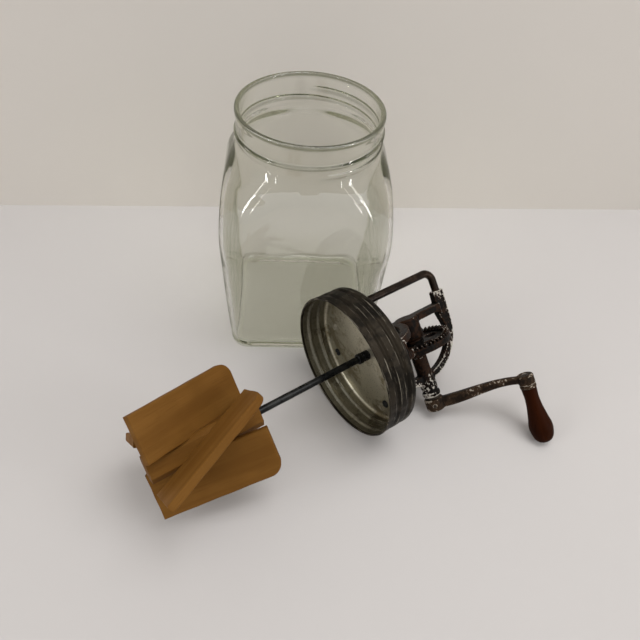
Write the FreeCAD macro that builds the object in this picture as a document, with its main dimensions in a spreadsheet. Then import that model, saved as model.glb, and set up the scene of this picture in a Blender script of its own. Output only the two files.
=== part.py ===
import FreeCAD, Part
import math
import os

import Sketcher

# Glass butter churn, taken apart as it stands on a table: a square glass jar and,
# in front of it, the screw lid lying on its side with its cast gear frame, crank
# and wooden dasher.
# The head (everything on the lid) is drawn upright in its own frame and then laid
# down: Z runs up the dasher shaft from the lid's open rim, X towards the crank.

DRIVING_SIZES = {
    # Jar
    "jar_tall": 233.4,
    "jar_foot_half": 71.0,
    "jar_foot_corner": 17.0,
    "jar_belly_half": 77.5,
    "jar_belly_corner": 26.0,
    "jar_belly_level": 138.0,
    "jar_neck_tall": 29.0,
    "jar_mouth_radius": 63.6,
    "jar_glass_wall": 4.2,
    "jar_floor_thick": 7.0,
    "jar_base_round": 5.0,
    "jar_bead_round": 3.5,
    "jar_upper_bead_drop": 18.6,
    "jar_lower_bead_drop": 26.6,
    # Lid
    "lid_rim_radius": 66.4,
    "lid_skirt_radius": 66.0,
    "lid_tall": 30.0,
    "lid_tin_thick": 0.8,
    "lid_curl_radius": 0.85,
    "lid_groove_depth": 1.3,
    "lid_groove_radius": 2.4,
    "lid_shoulder": 4.0,
    # Cast gear frame
    "crank_axis_level": 80.0,
    "arch_centre_x": 3.0,
    "arch_outer_radius": 47.2,
    "arch_band": 6.4,
    "arch_bar_end_x": -25.5,
    "arch_bar_level": 117.0,
    "arch_shoulder_angle": 75.0,
    "frame_thick": 8.0,
    "leg_x": -11.0,
    "leg_thick": 6.8,
    "leg_broad": 12.0,
    "yoke_crown_level": 69.0,
    "yoke_band": 8.5,
    "yoke_spread": 54.0,
    "side_foot_reach": 55.0,
    "front_foot_reach": 49.5,
    "foot_thick": 3.6,
    "foot_radius": 6.0,
    "foot_boss_tall": 9.0,
    "tube_start_x": 24.0,
    "tube_end_x": 65.5,
    "tube_radius": 7.2,
    "tube_collar_radius": 8.6,
    "block_radius": 11.2,
    "block_end_x": 6.5,
    "shaft_boss_radius": 6.3,
    "shaft_boss_drop": 20.0,
    # Gears
    "gear_teeth": 48.0,
    "pinion_teeth": 12.0,
    "pinion_pitch_radius": 8.0,
    "tooth_addendum": 1.3,
    "tooth_dedendum": 1.6,
    "tooth_thick": 1.6,
    "tooth_flank": 20.0,
    "gear_face_width": 4.4,
    "gear_rim_thick": 5.8,
    "gear_web_thick": 3.4,
    "gear_web_set_in": 1.6,
    "gear_hub_radius": 9.5,
    "gear_hole_radius": 5.8,
    "gear_hole_ring": 19.4,
    "gear_holes": 5.0,
    "pinion_tall": 9.0,
    "pinion_hub_radius": 5.6,
    # Shafts and fits
    "crank_shaft_radius": 4.5,
    "dasher_shaft_radius": 3.175,
    "running_fit": 0.05,
    "seat_gap": 0.3,
    "pin_radius": 1.5,
    "screw_head_radius": 3.6,
    "screw_head_tall": 2.2,
    "bush_radius": 4.6,
    "bush_flange_radius": 13.0,
    "bush_flange_thick": 2.2,
    "bush_drop": 6.2,
    "collar_radius": 4.9,
    "collar_tall": 5.2,
    "crank_washer_thick": 1.8,
    # Crank arm and knob
    "crank_reach": 86.5,
    "crank_hub_radius": 9.0,
    "crank_hub_long": 12.0,
    "crank_eye_radius": 7.6,
    "crank_eye_long": 9.5,
    "crank_arm_sag": 2.4,
    "crank_eye_lift": 1.6,
    "crank_arm_thick": 10.0,
    "crank_arm_tip_thick": 7.4,
    "crank_arm_broad": 9.0,
    "crank_arm_tip_broad": 6.6,
    "knob_long": 59.0,
    "knob_radius": 10.9,
    "knob_neck_radius": 6.0,
    "knob_pin_radius": 2.6,
    "ferrule_radius": 7.6,
    "ferrule_tall": 3.2,
    # Wire handle
    "rod_handle_radius": 3.7,
    "rod_handle_x": -44.8,
    "rod_handle_bend": 9.0,
    "rod_handle_seat": 9.0,
    "rod_handle_tail": 3.4,
    "handle_nut_half": 6.0,
    # Dasher
    "blade_start_depth": 88.9,
    "blade_run": 93.2,
    "blade_reach": 47.1,
    "blade_inner_reach": 8.0,
    "blade_thick": 6.9,
    "blade_pitch": 24.3,
    "blade_corner_radius": 11.0,
    "hub_half": 10.5,
    "hub_bevel": 4.5,
    "hub_lead": 2.6,
    "hub_nail_rise": 16.1,
    # The pose on the table, with the head lying on its side
    "head_x": 33.2,
    "head_y": -145.6,
    "head_heading": 32.9,
    "head_roll": -44.0,
    "crank_rest_turn": 38.7,
    "dasher_rest_turn": -2.3,
}

doc = FreeCAD.newDocument("butter_churn")
sheet = doc.addObject("Spreadsheet::Sheet", "Sizes")


class Size:
    """A length, angle or count that knows its number and its formula on the sheet."""

    def __init__(self, number, formula=None):
        self.number = float(number)
        self.formula = formula or repr(self.number)

    def __add__(self, other):
        other = as_size(other)
        return Size(self.number + other.number, f"({self.formula} + {other.formula})")

    def __sub__(self, other):
        other = as_size(other)
        return Size(self.number - other.number, f"({self.formula} - {other.formula})")

    def __mul__(self, other):
        other = as_size(other)
        return Size(self.number * other.number, f"({self.formula} * {other.formula})")

    def __truediv__(self, other):
        other = as_size(other)
        return Size(self.number / other.number, f"({self.formula} / {other.formula})")

    def __neg__(self):
        return Size(-self.number, f"(-1 * {self.formula})")

    __radd__ = __add__

    def __rsub__(self, other):
        return as_size(other) - self

    def __rmul__(self, other):
        return self * other

    def __rtruediv__(self, other):
        return as_size(other) / self

    def __float__(self):
        return self.number


def as_size(value):
    return value if isinstance(value, Size) else Size(value)


def sine(angle):
    return Size(math.sin(math.radians(angle.number)), f"sin({angle.formula})")


def cosine(angle):
    return Size(math.cos(math.radians(angle.number)), f"cos({angle.formula})")


def tangent(angle):
    return Size(math.tan(math.radians(angle.number)), f"tan({angle.formula})")


def square_root(value):
    return Size(math.sqrt(value.number), f"sqrt({value.formula})")


class Sizes:
    """The sheet's driving sizes, each read as an attribute of its own name."""

    def __init__(self, numbers):
        for row, (name, number) in enumerate(numbers.items(), start=1):
            sheet.set(f"A{row}", name)
            sheet.set(f"B{row}", str(number))
            sheet.setAlias(f"B{row}", name)
            setattr(self, name, Size(number, f"Sizes.{name}"))


size = Sizes(DRIVING_SIZES)
doc.recompute()


# Sketch helpers

def bind(thing, path, value):
    """Set one property by its formula on the sheet."""
    thing.setExpression(path, as_size(value).formula)


def origin_plane(body, role):
    return next(plane for plane in body.Origin.OriginFeatures if plane.Role == role)


def new_body(label):
    body = doc.addObject("PartDesign::Body", label)
    body.Label = label
    return body


def new_sketch(body, name, plane="XY_Plane", offset=0.0):
    """A sketch on one of the body's own planes, moved along that plane's normal."""
    sketch = body.newObject("Sketcher::SketchObject", f"{body.Label}_{name}")
    sketch.AttachmentSupport = [(origin_plane(body, plane), "")]
    sketch.MapMode = "FlatFace"
    bind(sketch, "AttachmentOffset.Base.z", offset)
    return sketch


def pin_point(sketch, line, end, x, y):
    """Hold one end of a line at a place given by sheet sizes."""
    for kind, axis, value in (("DistanceX", -2, x), ("DistanceY", -1, y)):
        if abs(value.number) < 1e-9:
            sketch.addConstraint(Sketcher.Constraint("PointOnObject", line, end, axis))
            continue
        index = sketch.addConstraint(Sketcher.Constraint(kind, -1, 1, line, end, value.number))
        bind(sketch, f"Constraints[{index}]", value)


def arc_apex(start, end, radius):
    """Middle point of the arc that turns left from start to end for a positive radius."""
    half = (end - start) * 0.5
    rise = math.sqrt(max(radius * radius - half.Length ** 2, 0.0))
    left = FreeCAD.Vector(-half.y, half.x, 0).normalize()
    return start + half + left * (math.copysign(rise, radius) - radius)


def draw_outline(sketch, path):
    """Draw a closed outline. Each step is (x, y) for a straight run to that point,
    or (x, y, radius) for an arc to it, turning left for a positive radius."""
    corners = [(as_size(step[0]), as_size(step[1])) for step in path]
    places = [FreeCAD.Vector(x.number, y.number, 0) for x, y in corners]
    first = len(sketch.Geometry)
    for index, step in enumerate(path):
        start, end = places[index - 1], places[index]
        if len(step) == 2:
            sketch.addGeometry(Part.LineSegment(start, end), False)
            continue
        radius = as_size(step[2]).number
        sketch.addGeometry(Part.Arc(start, arc_apex(start, end, radius), end), False)
    count = len(path)
    for index, step in enumerate(path):
        turns_left = len(step) == 2 or as_size(step[2]).number > 0
        following = path[(index + 1) % count]
        following_left = len(following) == 2 or as_size(following[2]).number > 0
        end = 2 if turns_left else 1
        start = 1 if following_left else 2
        join = Sketcher.Constraint("Coincident", first + index, end,
                                   first + (index + 1) % count, start)
        sketch.addConstraint(join)
        pin_point(sketch, first + index, end, *corners[index])
        if len(step) == 3:
            radius = as_size(step[2])
            radius = radius if radius.number > 0 else -radius
            number = sketch.addConstraint(
                Sketcher.Constraint("Radius", first + index, radius.number))
            bind(sketch, f"Constraints[{number}]", radius)


def draw_circle(sketch, x, y, radius):
    x, y, radius = as_size(x), as_size(y), as_size(radius)
    place = FreeCAD.Vector(x.number, y.number, 0)
    circle = sketch.addGeometry(
        Part.Circle(place, FreeCAD.Vector(0, 0, 1), radius.number), False)
    number = sketch.addConstraint(Sketcher.Constraint("Radius", circle, radius.number))
    bind(sketch, f"Constraints[{number}]", radius)
    pin_point(sketch, circle, 3, x, y)


def rounded_square(half, corner):
    """Outline of a square with round corners, centred on the origin."""
    flat = half - corner
    return [(flat, -half), (half, -flat, corner), (half, flat), (flat, half, corner),
            (-flat, half), (-half, flat, corner), (-half, -flat), (-flat, -half, corner)]


# Feature helpers

def pad(body, name, sketch, length, both_ways=False, reverse=False):
    feature = body.newObject("PartDesign::Pad", f"{body.Label}_{name}")
    feature.Profile = sketch
    bind(feature, "Length", length)
    feature.Midplane = both_ways
    feature.Reversed = reverse
    return feature


def pocket_through(body, name, sketch):
    """Cut a sketch right through the body, both ways."""
    feature = body.newObject("PartDesign::Pocket", f"{body.Label}_{name}")
    feature.Profile = sketch
    feature.Type = "ThroughAll"
    feature.Midplane = True
    return feature


def turn(body, name, sketch, cut=False):
    """Revolve a sketch on the XZ plane about the body's Z axis."""
    kind = "PartDesign::Groove" if cut else "PartDesign::Revolution"
    feature = body.newObject(kind, f"{body.Label}_{name}")
    feature.Profile = sketch
    feature.ReferenceAxis = (sketch, ["V_Axis"])
    feature.Angle = 360
    return feature


def turned_body(label, outline):
    """A round piece, from an outline of (radius, height) steps."""
    body = new_body(label)
    sketch = new_sketch(body, "profile", "XZ_Plane")
    draw_outline(sketch, outline)
    turn(body, "turned", sketch)
    return body


def ring_pattern(body, feature, count):
    """Repeat a feature evenly round the body's Z axis."""
    pattern = body.newObject("PartDesign::PolarPattern", f"{feature.Name}_ring")
    pattern.Originals = [feature]
    pattern.Axis = (origin_plane(body, "Z_Axis"), [""])
    pattern.Angle = 360
    bind(pattern, "Occurrences", count)
    body.Tip = pattern
    return pattern


def drill(body, name, plane, x, y, radius, start, length, reverse=False):
    """Drill a round hole of one length from a plane that is moved along its normal."""
    sketch = new_sketch(body, f"{name}_ring", plane, start)
    draw_circle(sketch, x, y, radius)
    feature = body.newObject("PartDesign::Pocket", f"{body.Label}_{name}")
    feature.Profile = sketch
    bind(feature, "Length", length)
    feature.Reversed = reverse
    return feature


# Placements: the head lies on its side, the crank turns on the head

def vector(x=0.0, y=0.0, z=0.0):
    return FreeCAD.Vector(float(x), float(y), float(z))


def move(x=0.0, y=0.0, z=0.0):
    return FreeCAD.Placement(vector(x, y, z), FreeCAD.Rotation())


def spin(axis, angle):
    return FreeCAD.Placement(vector(), FreeCAD.Rotation(vector(*axis), float(angle)))


X_WAY, Y_WAY, Z_WAY = (1, 0, 0), (0, 1, 0), (0, 0, 1)
LIE_DOWN = spin(Y_WAY, 90)
Z_TO_X = spin(Y_WAY, 90)

head_place = (move(size.head_x, size.head_y, size.lid_rim_radius)
              .multiply(spin(Z_WAY, size.head_heading))
              .multiply(LIE_DOWN)
              .multiply(spin(Z_WAY, size.head_roll)))
crank_place = (head_place
               .multiply(move(z=size.crank_axis_level))
               .multiply(spin(X_WAY, size.crank_rest_turn)))
dasher_place = head_place.multiply(spin(Z_WAY, size.dasher_rest_turn))
gear_ratio = size.gear_teeth / size.pinion_teeth
mesh_turn = (size.crank_rest_turn - 180 / size.gear_teeth) * gear_ratio
pinion_place = head_place.multiply(spin(Z_WAY, mesh_turn))


def seat(piece, place, *steps):
    """Put a finished piece where its sub-assembly is, after its own local steps."""
    for step in steps:
        place = place.multiply(step)
    piece.Placement = place
    return piece


# Sizes worked out from the driving ones

gear_pitch_radius = size.pinion_pitch_radius * size.gear_teeth / size.pinion_teeth
gear_root_x = size.pinion_pitch_radius + size.tooth_dedendum
gear_tip_x = size.pinion_pitch_radius - size.tooth_addendum
gear_back_x = gear_root_x + size.gear_rim_thick
gear_web_x = gear_root_x + size.gear_web_set_in
gear_tooth_inner = gear_pitch_radius - size.gear_face_width / 2
gear_tooth_outer = gear_pitch_radius + size.gear_face_width / 2
gear_hub_start_x = size.block_end_x + size.seat_gap
gear_hub_end_x = size.tube_start_x - size.seat_gap
gear_pin_x = (gear_web_x + size.gear_web_thick + gear_hub_end_x) / 2
pinion_level = size.crank_axis_level - gear_tooth_outer - 1.0
shaft_boss_level = size.crank_axis_level - size.shaft_boss_drop
shaft_top_level = size.crank_axis_level - 13.5
pinion_top_level = shaft_boss_level - size.seat_gap
pinion_pin_level = (pinion_level + size.pinion_tall + pinion_top_level) / 2
lid_inner_level = size.lid_tall - size.lid_tin_thick
lid_bore = size.bush_radius
bush_foot_level = lid_inner_level - size.bush_drop
collar_top_level = bush_foot_level - size.seat_gap
collar_middle_level = collar_top_level - size.collar_tall / 2
arch_level = size.crank_axis_level
arch_inner_radius = size.arch_outer_radius - size.arch_band
arch_top_level = arch_level + size.arch_outer_radius + 1.5
handle_level = (arch_top_level + size.arch_bar_level) / 2
crank_hub_start_x = size.tube_end_x + size.crank_washer_thick + size.seat_gap * 2
crank_hub_end_x = crank_hub_start_x + size.crank_hub_long
crank_pin_x = (crank_hub_start_x + crank_hub_end_x) / 2
crank_eye_x = crank_pin_x + size.crank_eye_lift
knob_start_x = crank_eye_x + size.crank_eye_long / 2 + size.seat_gap
knob_end_x = knob_start_x + size.knob_long
blade_middle_depth = size.blade_start_depth + size.blade_run / 2
hub_end_depth = size.blade_start_depth + size.blade_run


# Jar

def jar_sections(bottom, inset):
    """(height, half width, corner radius) up the jar, for a skin set in by inset."""
    foot, foot_corner = size.jar_foot_half, size.jar_foot_corner
    belly, corner, level = size.jar_belly_half, size.jar_belly_corner, size.jar_belly_level
    neck_level = size.jar_tall - size.jar_neck_tall
    neck = size.jar_mouth_radius - 0.8
    rows = []
    for share in (0.0, 0.33, 0.67, 1.0):
        height = bottom + (level - bottom) * share
        along = height / level
        rows.append((height, foot + (belly - foot) * along * (as_size(1.6) - along * 0.6),
                     foot_corner + (corner - foot_corner) * along))
    for rise, taper, rounding in ((0.37, 0.10, 0.34), (0.72, 0.42, 0.72), (1.0, 1.0, 1.0)):
        height = level + (neck_level - level) * rise
        half = belly + (neck - belly) * taper
        rows.append((height, half, corner + (half - 1.0 - corner) * rounding))
    return [(height, half - inset, corner_radius - inset) for height, half, corner_radius in rows]


def make_glass_jar():
    body = new_body("glass_jar")

    def loft(name, kind, rows):
        sketches = []
        for index, (height, half, corner) in enumerate(rows):
            sketch = new_sketch(body, f"{name}_{index}", "XY_Plane", height)
            draw_outline(sketch, rounded_square(half, corner))
            sketches.append(sketch)
        feature = body.newObject(kind, f"glass_jar_{name}")
        feature.Profile = sketches[0]
        feature.Sections = sketches[1:]
        return feature

    skin = jar_sections(size.jar_base_round, as_size(0))
    height, half, corner = skin[0]
    base_rows = [(height * rise, half - height * inset, corner - height * inset)
                 for rise, inset in ((0.0, 1.0), (0.3, 0.286))]
    loft("base", "PartDesign::AdditiveLoft", base_rows + skin[:1])
    loft("outside", "PartDesign::AdditiveLoft", skin)
    neck_level = size.jar_tall - size.jar_neck_tall
    lip, bead_round = size.jar_mouth_radius, size.jar_bead_round
    bore = lip - size.jar_glass_wall
    upper_bead = size.jar_tall - size.jar_upper_bead_drop
    lower_bead = size.jar_tall - size.jar_lower_bead_drop
    sketch = new_sketch(body, "neck_profile", "XZ_Plane")
    draw_outline(sketch, [
        (bore, neck_level - 2.0), (lip - 1.6, neck_level - 2.0),
        (lip - 0.7, lower_bead - 3.0),
        (lip - 0.7, lower_bead + 3.0, bead_round),
        (lip - 0.7, upper_bead - 3.0),
        (lip - 0.7, upper_bead + 3.0, bead_round),
        (lip, size.jar_tall - 1.4), (lip - 1.4, size.jar_tall, as_size(1.4)),
        (bore + 1.4, size.jar_tall), (bore, size.jar_tall - 1.4, as_size(1.4))])
    turn(body, "neck", sketch)
    loft("inside", "PartDesign::SubtractiveLoft",
         jar_sections(size.jar_floor_thick, size.jar_glass_wall))
    sketch = new_sketch(body, "mouth", "XY_Plane", neck_level - 3.0)
    draw_circle(sketch, 0, 0, bore)
    feature = body.newObject("PartDesign::Pocket", "glass_jar_mouth_bore")
    feature.Profile = sketch
    feature.Reversed = True
    bind(feature, "Length", size.jar_neck_tall + 5.0)
    return body


# Lid

def chord_half(radius, rise):
    """Half the chord of an arc of that radius that stands rise above it."""
    return square_root(rise * (radius * 2 - rise))


def make_lid():
    """Pressed tin screw lid: curled rim, two grooves rolled inwards as its thread, flat top."""
    tin, skirt, curl = size.lid_tin_thick, size.lid_skirt_radius, size.lid_curl_radius
    rim, inner, shoulder = size.lid_rim_radius, size.lid_skirt_radius - tin, size.lid_shoulder
    groove, ridge = size.lid_groove_radius, size.lid_groove_radius + tin
    mouth = chord_half(groove, size.lid_groove_depth)
    back = chord_half(ridge, size.lid_groove_depth)
    levels = [size.lid_tall * share for share in (0.32, 0.69)]
    outline = [(rim - curl * 2, curl * 2), (rim - curl * 2, 0.0), (rim - curl, 0.0),
               (rim, curl, curl), (rim - 0.1, curl * 2), (skirt, curl * 2 + 0.6)]
    for level in levels:
        outline += [(skirt, level - mouth), (skirt, level + mouth, -groove)]
    outline += [(skirt, size.lid_tall - shoulder), (skirt - shoulder, size.lid_tall, shoulder),
                (lid_bore, size.lid_tall), (lid_bore, lid_inner_level),
                (inner + tin - shoulder, lid_inner_level),
                (inner, size.lid_tall - shoulder, tin - shoulder)]
    for level in reversed(levels):
        outline += [(inner, level + back), (inner, level - back, ridge)]
    outline += [(inner, curl * 2)]
    body = turned_body("screw_lid", outline)
    for index, (x, y) in enumerate(screw_places()):
        drill(body, f"screw_hole_{index}", "XY_Plane", x, y, size.pin_radius,
              size.lid_tall + 1.0, as_size(4.0))
    drill(body, "handle_hole", "XY_Plane", size.rod_handle_x, 0, size.rod_handle_radius,
          size.lid_tall + 1.0, as_size(4.0))
    return seat(body, head_place)


def screw_places():
    """Where the three screws hold the frame's feet to the lid."""
    return [(size.front_foot_reach, as_size(0)), (as_size(0), size.side_foot_reach),
            (as_size(0), -size.side_foot_reach)]


def make_lid_screws():
    """Three slotless pan head screws, put in from inside the lid."""
    body = new_body("lid_screws")
    head, tall = size.screw_head_radius, size.screw_head_tall
    for index, (x, y) in enumerate(screw_places()):
        sketch = new_sketch(body, f"profile_{index}", "XZ_Plane", -y)
        bind(sketch, "AttachmentOffset.Base.x", x)
        base = lid_inner_level
        draw_outline(sketch, [
            (0, base - tall), (head * 0.55, base - tall), (head, base - tall * 0.4, head * 0.9),
            (head, base), (size.pin_radius, base),
            (size.pin_radius, size.lid_tall + size.foot_boss_tall - 2.0),
            (0, size.lid_tall + size.foot_boss_tall - 2.0)])
        turn(body, f"screw_{index}", sketch)
    return seat(body, head_place)


def make_shaft_bushing():
    """Flanged bush that carries the dasher shaft through the lid."""
    bore = size.dasher_shaft_radius + size.running_fit
    barrel, flange_top = size.bush_radius, size.lid_tall + size.bush_flange_thick
    top = pinion_level - size.seat_gap
    body = turned_body("shaft_bushing", [
        (bore, bush_foot_level), (barrel - 0.8, bush_foot_level), (barrel, bush_foot_level + 0.8),
        (barrel, size.lid_tall), (size.bush_flange_radius, size.lid_tall),
        (size.bush_flange_radius, flange_top - 0.8), (size.bush_flange_radius - 1.2, flange_top),
        (barrel + 1.5, flange_top), (barrel, flange_top + 1.5, as_size(-1.5)),
        (barrel, top - 0.6), (barrel - 0.6, top), (bore, top)])
    return seat(body, head_place)


# Cast gear frame

def axis_sketch(body, name, level):
    """A sketch on the XZ plane whose own X axis lies at a level up the head."""
    sketch = new_sketch(body, name, "XZ_Plane")
    bind(sketch, "AttachmentOffset.Base.y", level)
    return sketch


def turn_about_x(body, name, sketch):
    feature = turn(body, name, sketch)
    feature.ReferenceAxis = (sketch, ["H_Axis"])
    return feature


def bow_radius(half_width, rise):
    """Radius of the arc that spans twice half_width and rises by rise."""
    return (half_width * half_width + rise * rise) / (rise * 2)


def make_gear_frame():
    """One iron casting: arch over the gear, leg and yoke, front leg, bearing tube."""
    body = new_body("gear_frame")
    cast_arch(body)
    cast_yoke(body)
    cast_front_leg(body)
    cast_bearings(body)
    bore_frame(body)
    return seat(body, head_place)


def cast_arch(body):
    centre, outer, inner = size.arch_centre_x, size.arch_outer_radius, arch_inner_radius
    shoulder_x = centre + inner * cosine(size.arch_shoulder_angle)
    shoulder_level = arch_level + inner * sine(size.arch_shoulder_angle)
    sketch = new_sketch(body, "arch_outline", "XZ_Plane")
    draw_outline(sketch, [
        (centre + outer, arch_level), (centre, arch_level + outer, outer),
        (size.arch_bar_end_x, arch_top_level), (size.arch_bar_end_x, size.arch_bar_level),
        (centre - 7.0, size.arch_bar_level - 1.6), (shoulder_x, shoulder_level),
        (centre + inner, arch_level, -inner)])
    pad(body, "arch", sketch, size.frame_thick, both_ways=True)
    sketch = new_sketch(body, "leg_outline", "XZ_Plane")
    near, far = size.leg_x - size.leg_thick / 2, size.leg_x + size.leg_thick / 2
    foot, top = size.yoke_crown_level - size.yoke_band / 2, size.arch_bar_level + 1.0
    draw_outline(sketch, [
        (near, foot), (far, foot), (far, top - 7.0), (far + 4.0, top, as_size(-9.0)),
        (near, top)])
    pad(body, "leg", sketch, size.leg_broad, both_ways=True)


def cast_yoke(body):
    """The bow that spreads the leg to a foot on each side of the lid."""
    near = size.leg_x - size.leg_thick / 2
    base, crown, band = size.lid_tall, size.yoke_crown_level, size.yoke_band
    outer, inner = size.yoke_spread, size.yoke_spread - band
    outer_bow = bow_radius(outer, crown - base)
    inner_bow = bow_radius(inner, crown - band - base)
    sketch = new_sketch(body, "yoke_outline", "YZ_Plane", near)
    draw_outline(sketch, [
        (outer, base), (0, crown, outer_bow), (-outer, base, outer_bow), (-inner, base),
        (0, crown - band, -inner_bow), (inner, base, -inner_bow)])
    pad(body, "yoke", sketch, size.leg_thick)
    reach, round_end = size.side_foot_reach, size.foot_radius
    for name, way in (("left", 1.0), ("right", -1.0)):
        sketch = new_sketch(body, f"{name}_foot_outline", "XY_Plane", base)
        turning = round_end * way * 1.02
        draw_outline(sketch, [
            (near, (reach + round_end) * way - way), (near, (reach - round_end) * way),
            (0, (reach - round_end) * way), (0, (reach + round_end) * way, turning)])
        pad(body, f"{name}_foot", sketch, size.foot_thick)
        sketch = new_sketch(body, f"{name}_boss_outline", "XY_Plane", base)
        draw_circle(sketch, 0, reach * way, size.pin_radius + 2.6)
        pad(body, f"{name}_boss", sketch, size.foot_boss_tall)


def cast_front_leg(body):
    """The leg under the bearing tube, flared to the foot near the crank."""
    foot, base = size.front_foot_reach, size.lid_tall
    ankle, knee = base + size.foot_boss_tall, size.crank_axis_level - 19.0
    tube = size.crank_axis_level - size.tube_radius * 0.6
    sketch = new_sketch(body, "front_leg_outline", "XZ_Plane")
    draw_outline(sketch, [
        (foot - 9.0, base), (foot + 7.0, base), (foot + 7.0, base + size.foot_thick),
        (foot + 1.5, ankle, as_size(-7.0)), (foot - 0.8, knee), (foot + 3.4, tube),
        (foot - 7.0, tube), (foot - 6.4, knee), (foot - 4.5, ankle),
        (foot - 9.0, base + size.foot_thick, as_size(-7.0))])
    pad(body, "front_leg", sketch, size.frame_thick, both_ways=True)
    sketch = new_sketch(body, "front_foot_outline", "XY_Plane", base)
    draw_outline(sketch, [
        (foot, -size.foot_radius), (foot, size.foot_radius, size.foot_radius * 1.02),
        (foot - 9.0, size.foot_radius), (foot - 9.0, -size.foot_radius)])
    pad(body, "front_foot", sketch, size.foot_thick)


def cast_bearings(body):
    """The crank's bearing tube, its inner block and the boss for the dasher shaft."""
    start, end, tube = size.tube_start_x, size.tube_end_x, size.tube_radius
    collar = size.tube_collar_radius
    sketch = axis_sketch(body, "tube_profile", size.crank_axis_level)
    draw_outline(sketch, [
        (start, 0), (end, 0), (end, collar - 0.8), (end - 0.8, collar), (end - 4.2, collar),
        (end - 5.4, tube), (end - 9.0, tube + 0.9), (end - 14.0, tube + 0.9),
        (end - 20.0, tube), (start + 0.8, tube), (start, tube - 0.8)])
    turn_about_x(body, "tube", sketch)
    near, far, block = size.leg_x - size.leg_thick / 2, size.block_end_x, size.block_radius
    sketch = axis_sketch(body, "block_profile", size.crank_axis_level)
    draw_outline(sketch, [
        (near, 0), (far, 0), (far, block - 1.6), (far - 1.6, block, as_size(1.6)),
        (near + 1.6, block), (near, block - 1.6, as_size(1.6))])
    turn_about_x(body, "block", sketch)
    sketch = new_sketch(body, "shaft_boss_outline", "XY_Plane", shaft_boss_level)
    draw_circle(sketch, 0, 0, size.shaft_boss_radius)
    pad(body, "shaft_boss", sketch, size.shaft_boss_drop - size.block_radius + 3.0)


def bore_frame(body):
    """Bearing bores, the handle's socket and the blind screw holes in the feet."""
    crank_bore = size.crank_shaft_radius + size.running_fit
    drill(body, "crank_bore", "YZ_Plane", 0, size.crank_axis_level, crank_bore,
          size.tube_end_x + 1.0, size.tube_end_x + 7.0)
    shaft_bore = size.dasher_shaft_radius + size.running_fit
    drill(body, "shaft_bore", "XY_Plane", 0, 0, shaft_bore, shaft_boss_level - 1.0,
          shaft_top_level + size.seat_gap - shaft_boss_level + 1.0, reverse=True)
    drill(body, "handle_socket", "YZ_Plane", 0, handle_level, size.rod_handle_radius,
          size.arch_bar_end_x - 1.0, size.rod_handle_seat + 1.0, reverse=True)
    for index, (x, y) in enumerate(screw_places()):
        drill(body, f"foot_hole_{index}", "XY_Plane", x, y, size.pin_radius,
              size.lid_tall - 1.0, size.foot_boss_tall - 1.0, reverse=True)


# Wire handle

def make_wire_handle():
    """Bent rod from the lid up and over into the frame's socket."""
    body = new_body("wire_handle")
    foot = lid_inner_level - size.rod_handle_tail
    far = size.arch_bar_end_x + size.rod_handle_seat
    bend, x = size.rod_handle_bend, size.rod_handle_x
    spine = new_sketch(body, "route", "XZ_Plane")
    points = [(x, foot), (x, handle_level - bend), (x + bend, handle_level), (far, handle_level)]
    places = [FreeCAD.Vector(float(px), float(pz), 0) for px, pz in points]
    spine.addGeometry(Part.LineSegment(places[0], places[1]), False)
    centre = FreeCAD.Vector(float(x + bend), float(handle_level - bend), 0)
    apex = centre + FreeCAD.Vector(-1, 1, 0).normalize() * float(bend)
    spine.addGeometry(Part.Arc(places[1], apex, places[2]), False)
    spine.addGeometry(Part.LineSegment(places[2], places[3]), False)
    spine.addConstraint(Sketcher.Constraint("Coincident", 0, 2, 1, 2))
    spine.addConstraint(Sketcher.Constraint("Coincident", 1, 1, 2, 1))
    pin_point(spine, 0, 1, *points[0])
    pin_point(spine, 0, 2, *points[1])
    pin_point(spine, 2, 1, *points[2])
    pin_point(spine, 2, 2, *points[3])
    number = spine.addConstraint(Sketcher.Constraint("Radius", 1, float(bend)))
    bind(spine, f"Constraints[{number}]", bend)
    section = new_sketch(body, "section", "XY_Plane", foot)
    draw_circle(section, x, 0, size.rod_handle_radius)
    feature = body.newObject("PartDesign::AdditivePipe", "wire_handle_rod")
    feature.Profile = section
    feature.Spine = (spine, ["Edge1", "Edge2", "Edge3"])
    return seat(body, head_place)


def make_handle_nut():
    """Six sided nut on the handle's tail, inside the lid."""
    body = new_body("handle_nut")
    half, thick = size.handle_nut_half, size.rod_handle_tail - 0.6
    sketch = new_sketch(body, "outline", "XY_Plane", lid_inner_level - thick)
    corner = half / cosine(as_size(30))
    draw_outline(sketch, [
        (size.rod_handle_x + corner * cosine(as_size(60 * turn_index)),
         corner * sine(as_size(60 * turn_index))) for turn_index in range(6)])
    draw_circle(sketch, size.rod_handle_x, 0, size.rod_handle_radius)
    pad(body, "hexagon", sketch, thick)
    return seat(body, head_place)


# Gear pair

def tooth_half(depth):
    """Half the thickness of a tooth, at a depth below its pitch line."""
    return size.tooth_thick / 2 + depth * tangent(size.tooth_flank)


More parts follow.
